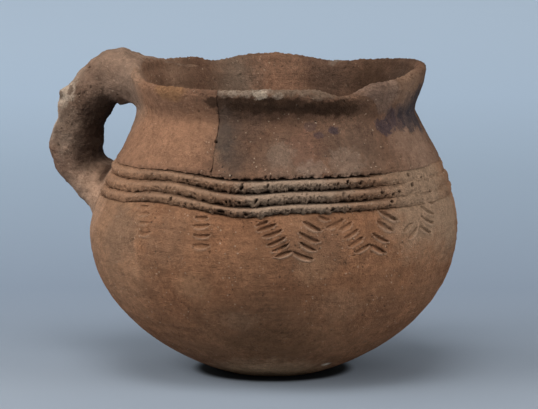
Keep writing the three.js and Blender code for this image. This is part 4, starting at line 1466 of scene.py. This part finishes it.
# Temper grains
# Crushed stone was mixed into the clay, and some grains stand out where the surface has worn.
grain_tree, wanted = geometry_tree("temper_grains", [
    ("Density", "NodeSocketFloat", 16000.0),
    ("Smallest", "NodeSocketFloat", 0.00010),
    ("Largest", "NodeSocketFloat", 0.00024),
    ("Seed", "NodeSocketInt", 4),
    ("Clay", "NodeSocketMaterial", None),
])
scattered = add_node(grain_tree, "GeometryNodeDistributePointsOnFaces", {
    "Mesh": wanted["Geometry"],
    "Density": wanted["Density"],
    "Seed": wanted["Seed"],
}, distribute_method="RANDOM")
pebble = add_node(grain_tree, "GeometryNodeMeshIcoSphere", {"Radius": 1.0, "Subdivisions": 1})
size = add_node(grain_tree, "FunctionNodeRandomValue", {
    "Min": wanted["Smallest"],
    "Max": wanted["Largest"],
    "Seed": wanted["Seed"],
}, data_type="FLOAT")
squash = add_node(grain_tree, "FunctionNodeRandomValue", {
    "Min": (0.6, 0.6, 0.35),
    "Max": (1.2, 1.2, 0.7),
    "Seed": 17,
}, data_type="FLOAT_VECTOR")
size_out = next(s for s in size.outputs if s.enabled)
squash_out = next(s for s in squash.outputs if s.enabled)
pebbles = add_node(grain_tree, "GeometryNodeInstanceOnPoints", {
    "Points": scattered.outputs["Points"],
    "Instance": pebble.outputs["Mesh"],
    "Rotation": scattered.outputs["Rotation"],
    "Scale": scaled(grain_tree, squash_out, size_out),
})
finish_tree(grain_tree, pebbles.outputs[0], wanted["Clay"])

grain_clay = clay_material("pale_temper_grit", (0.15, 0.10, 0.072), (0.31, 0.225, 0.165), [], grit=0.0)
skin_columns, skin_rows = 240, 120
skin_azimuth = np.linspace(0, 360, skin_columns, endpoint=False)[None, :]
skin_share = np.linspace(0, 1, skin_rows)[:, None]
for name, low, high, seed in (
    ("temper_grains_body", 20 + 0 * skin_azimuth, lap_arc(0, skin_azimuth) - 1, 4),
    ("temper_grains_neck", lap_arc(3, skin_azimuth) + 6, rim_arc(skin_azimuth) - lip_rounding, 5),
):
    arcs = low + (high - low) * skin_share
    places, _ = wall_point(arcs, 0.45, skin_azimuth + 0 * arcs)
    faces = quads(skin_rows, skin_columns, False, True)
    grains = new_piece(name, places.reshape(-1, 3), [], faces)
    share = 1 if "body" in name else 0.6
    shape_by(grains, grain_tree, {"Density": 16000.0 * share, "Seed": seed, "Clay": grain_clay})
    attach(grains, "root")

# Studio
# A wide sheet of pale blue-grey paper: a little darker just behind the pot and lighter further off,
# as painted shade and light, and dark in a round spot where the pot stands on it, as a painted
# contact shadow. Soft lamps stand all round it.
floor_reach = 6.0
floor_rings = 60
floor_sides = 96
contact_shadow_radius = 0.0315
contact_shadow_blur = 0.003
floor_radii = floor_reach * np.linspace(0, 1, floor_rings) ** 2
floor_turns = np.linspace(0, 2 * math.pi, floor_sides, endpoint=False)
floor_places = [
    (r * math.cos(a), r * math.sin(a), 0.0) for r in floor_radii[1:] for a in floor_turns
] + [(0.0, 0.0, 0.0)]
floor_faces = quads(floor_rings - 1, floor_sides, False, True)
floor_faces += [
    (len(floor_places) - 1, side, (side + 1) % floor_sides) for side in range(floor_sides)
]
floor = new_piece("paper_floor", floor_places, [], floor_faces)
floor_paper = bpy.data.materials.new("floor_paper")
floor_paper.use_nodes = True
floor_tree = floor_paper.node_tree
floor_place = add_node(floor_tree, "ShaderNodeTexCoord").outputs["Object"]
away_from_view = (-math.sin(view_turn), math.cos(view_turn), 0)
beyond_pot = vector_math(floor_tree, "DOT_PRODUCT", floor_place, away_from_view)
# Painted shade and light: the colour is darker just behind the pot and lighter further off.
floor_ramp = add_node(floor_tree, "ShaderNodeValToRGB", {
    "Fac": spread(floor_tree, beyond_pot, -0.5, 2.5),
})
floor_stops = (
    (0.15, (0.222, 0.255, 0.297)), (0.235, (0.18, 0.22, 0.275)), (0.37, (0.262, 0.328, 0.405)),
    (0.5, (0.37, 0.465, 0.575)), (0.75, (0.53, 0.65, 0.785)),
)
ramp = floor_ramp.color_ramp
for index, (at, tint) in enumerate(floor_stops):
    stop = ramp.elements[index] if index < 2 else ramp.elements.new(at)
    stop.position = at
    stop.color = (*tint, 1)
# Painted contact shadow: the paper is nearly black in a disc round the pot's foot.
painted_contact_shadow = spread(
    floor_tree, vector_math(floor_tree, "LENGTH", floor_place),
    contact_shadow_radius - contact_shadow_blur, contact_shadow_radius + contact_shadow_blur, 0.02, ease="SMOOTHSTEP",
)
floor_color = scaled(floor_tree, floor_ramp.outputs["Color"], painted_contact_shadow)
floor_shader = floor_tree.nodes["Principled BSDF"]
floor_tree.links.new(floor_color, floor_shader.inputs["Base Color"])
floor_shader.inputs["Roughness"].default_value = 0.95
floor_shader.inputs["Specular IOR Level"].default_value = 0.1
floor.data.materials.append(floor_paper)


def soft_lamp(name, azimuth, elevation, distance, size, power):
    lamp_data = bpy.data.lights.new(name, "AREA")
    lamp_data.size = size
    lamp_data.energy = power
    lamp = bpy.data.objects.new(name, lamp_data)
    scene.collection.objects.link(lamp)
    turn, rise = math.radians(azimuth), math.radians(elevation)
    lamp.location = view_target + distance * np.array([
        math.cos(turn) * math.cos(rise), math.sin(turn) * math.cos(rise), math.sin(rise),
    ])
    lamp.rotation_euler = (math.pi / 2 - rise, 0, turn + math.pi / 2)


soft_lamp("left_softbox", 226, 30, 2.0, 1.2, 28)
soft_lamp("right_softbox", 352, 22, 2.0, 1.1, 22)
soft_lamp("front_softbox", 288, 30, 2.2, 1.0, 9)
soft_lamp("top_softbox", 280, 66, 2.0, 1.0, 20)
soft_lamp("side_softbox", 186, 26, 2.0, 0.9, 13)
soft_lamp("back_softbox", 108, 45, 2.4, 1.4, 7)
world = bpy.data.worlds.new("studio")
scene.world = world
world.use_nodes = True
world_tree = world.node_tree
direction = add_node(world_tree, "ShaderNodeTexCoord").outputs["Generated"]
sky_strength = spread(world_tree, parts(world_tree, direction)["Z"], 0.0, 0.9, 0.27, 0.29)
world_tree.links.new(sky_strength, world_tree.nodes["Background"].inputs["Strength"])
world_tree.nodes["Background"].inputs["Color"].default_value = (0.94, 0.97, 1.0, 1)
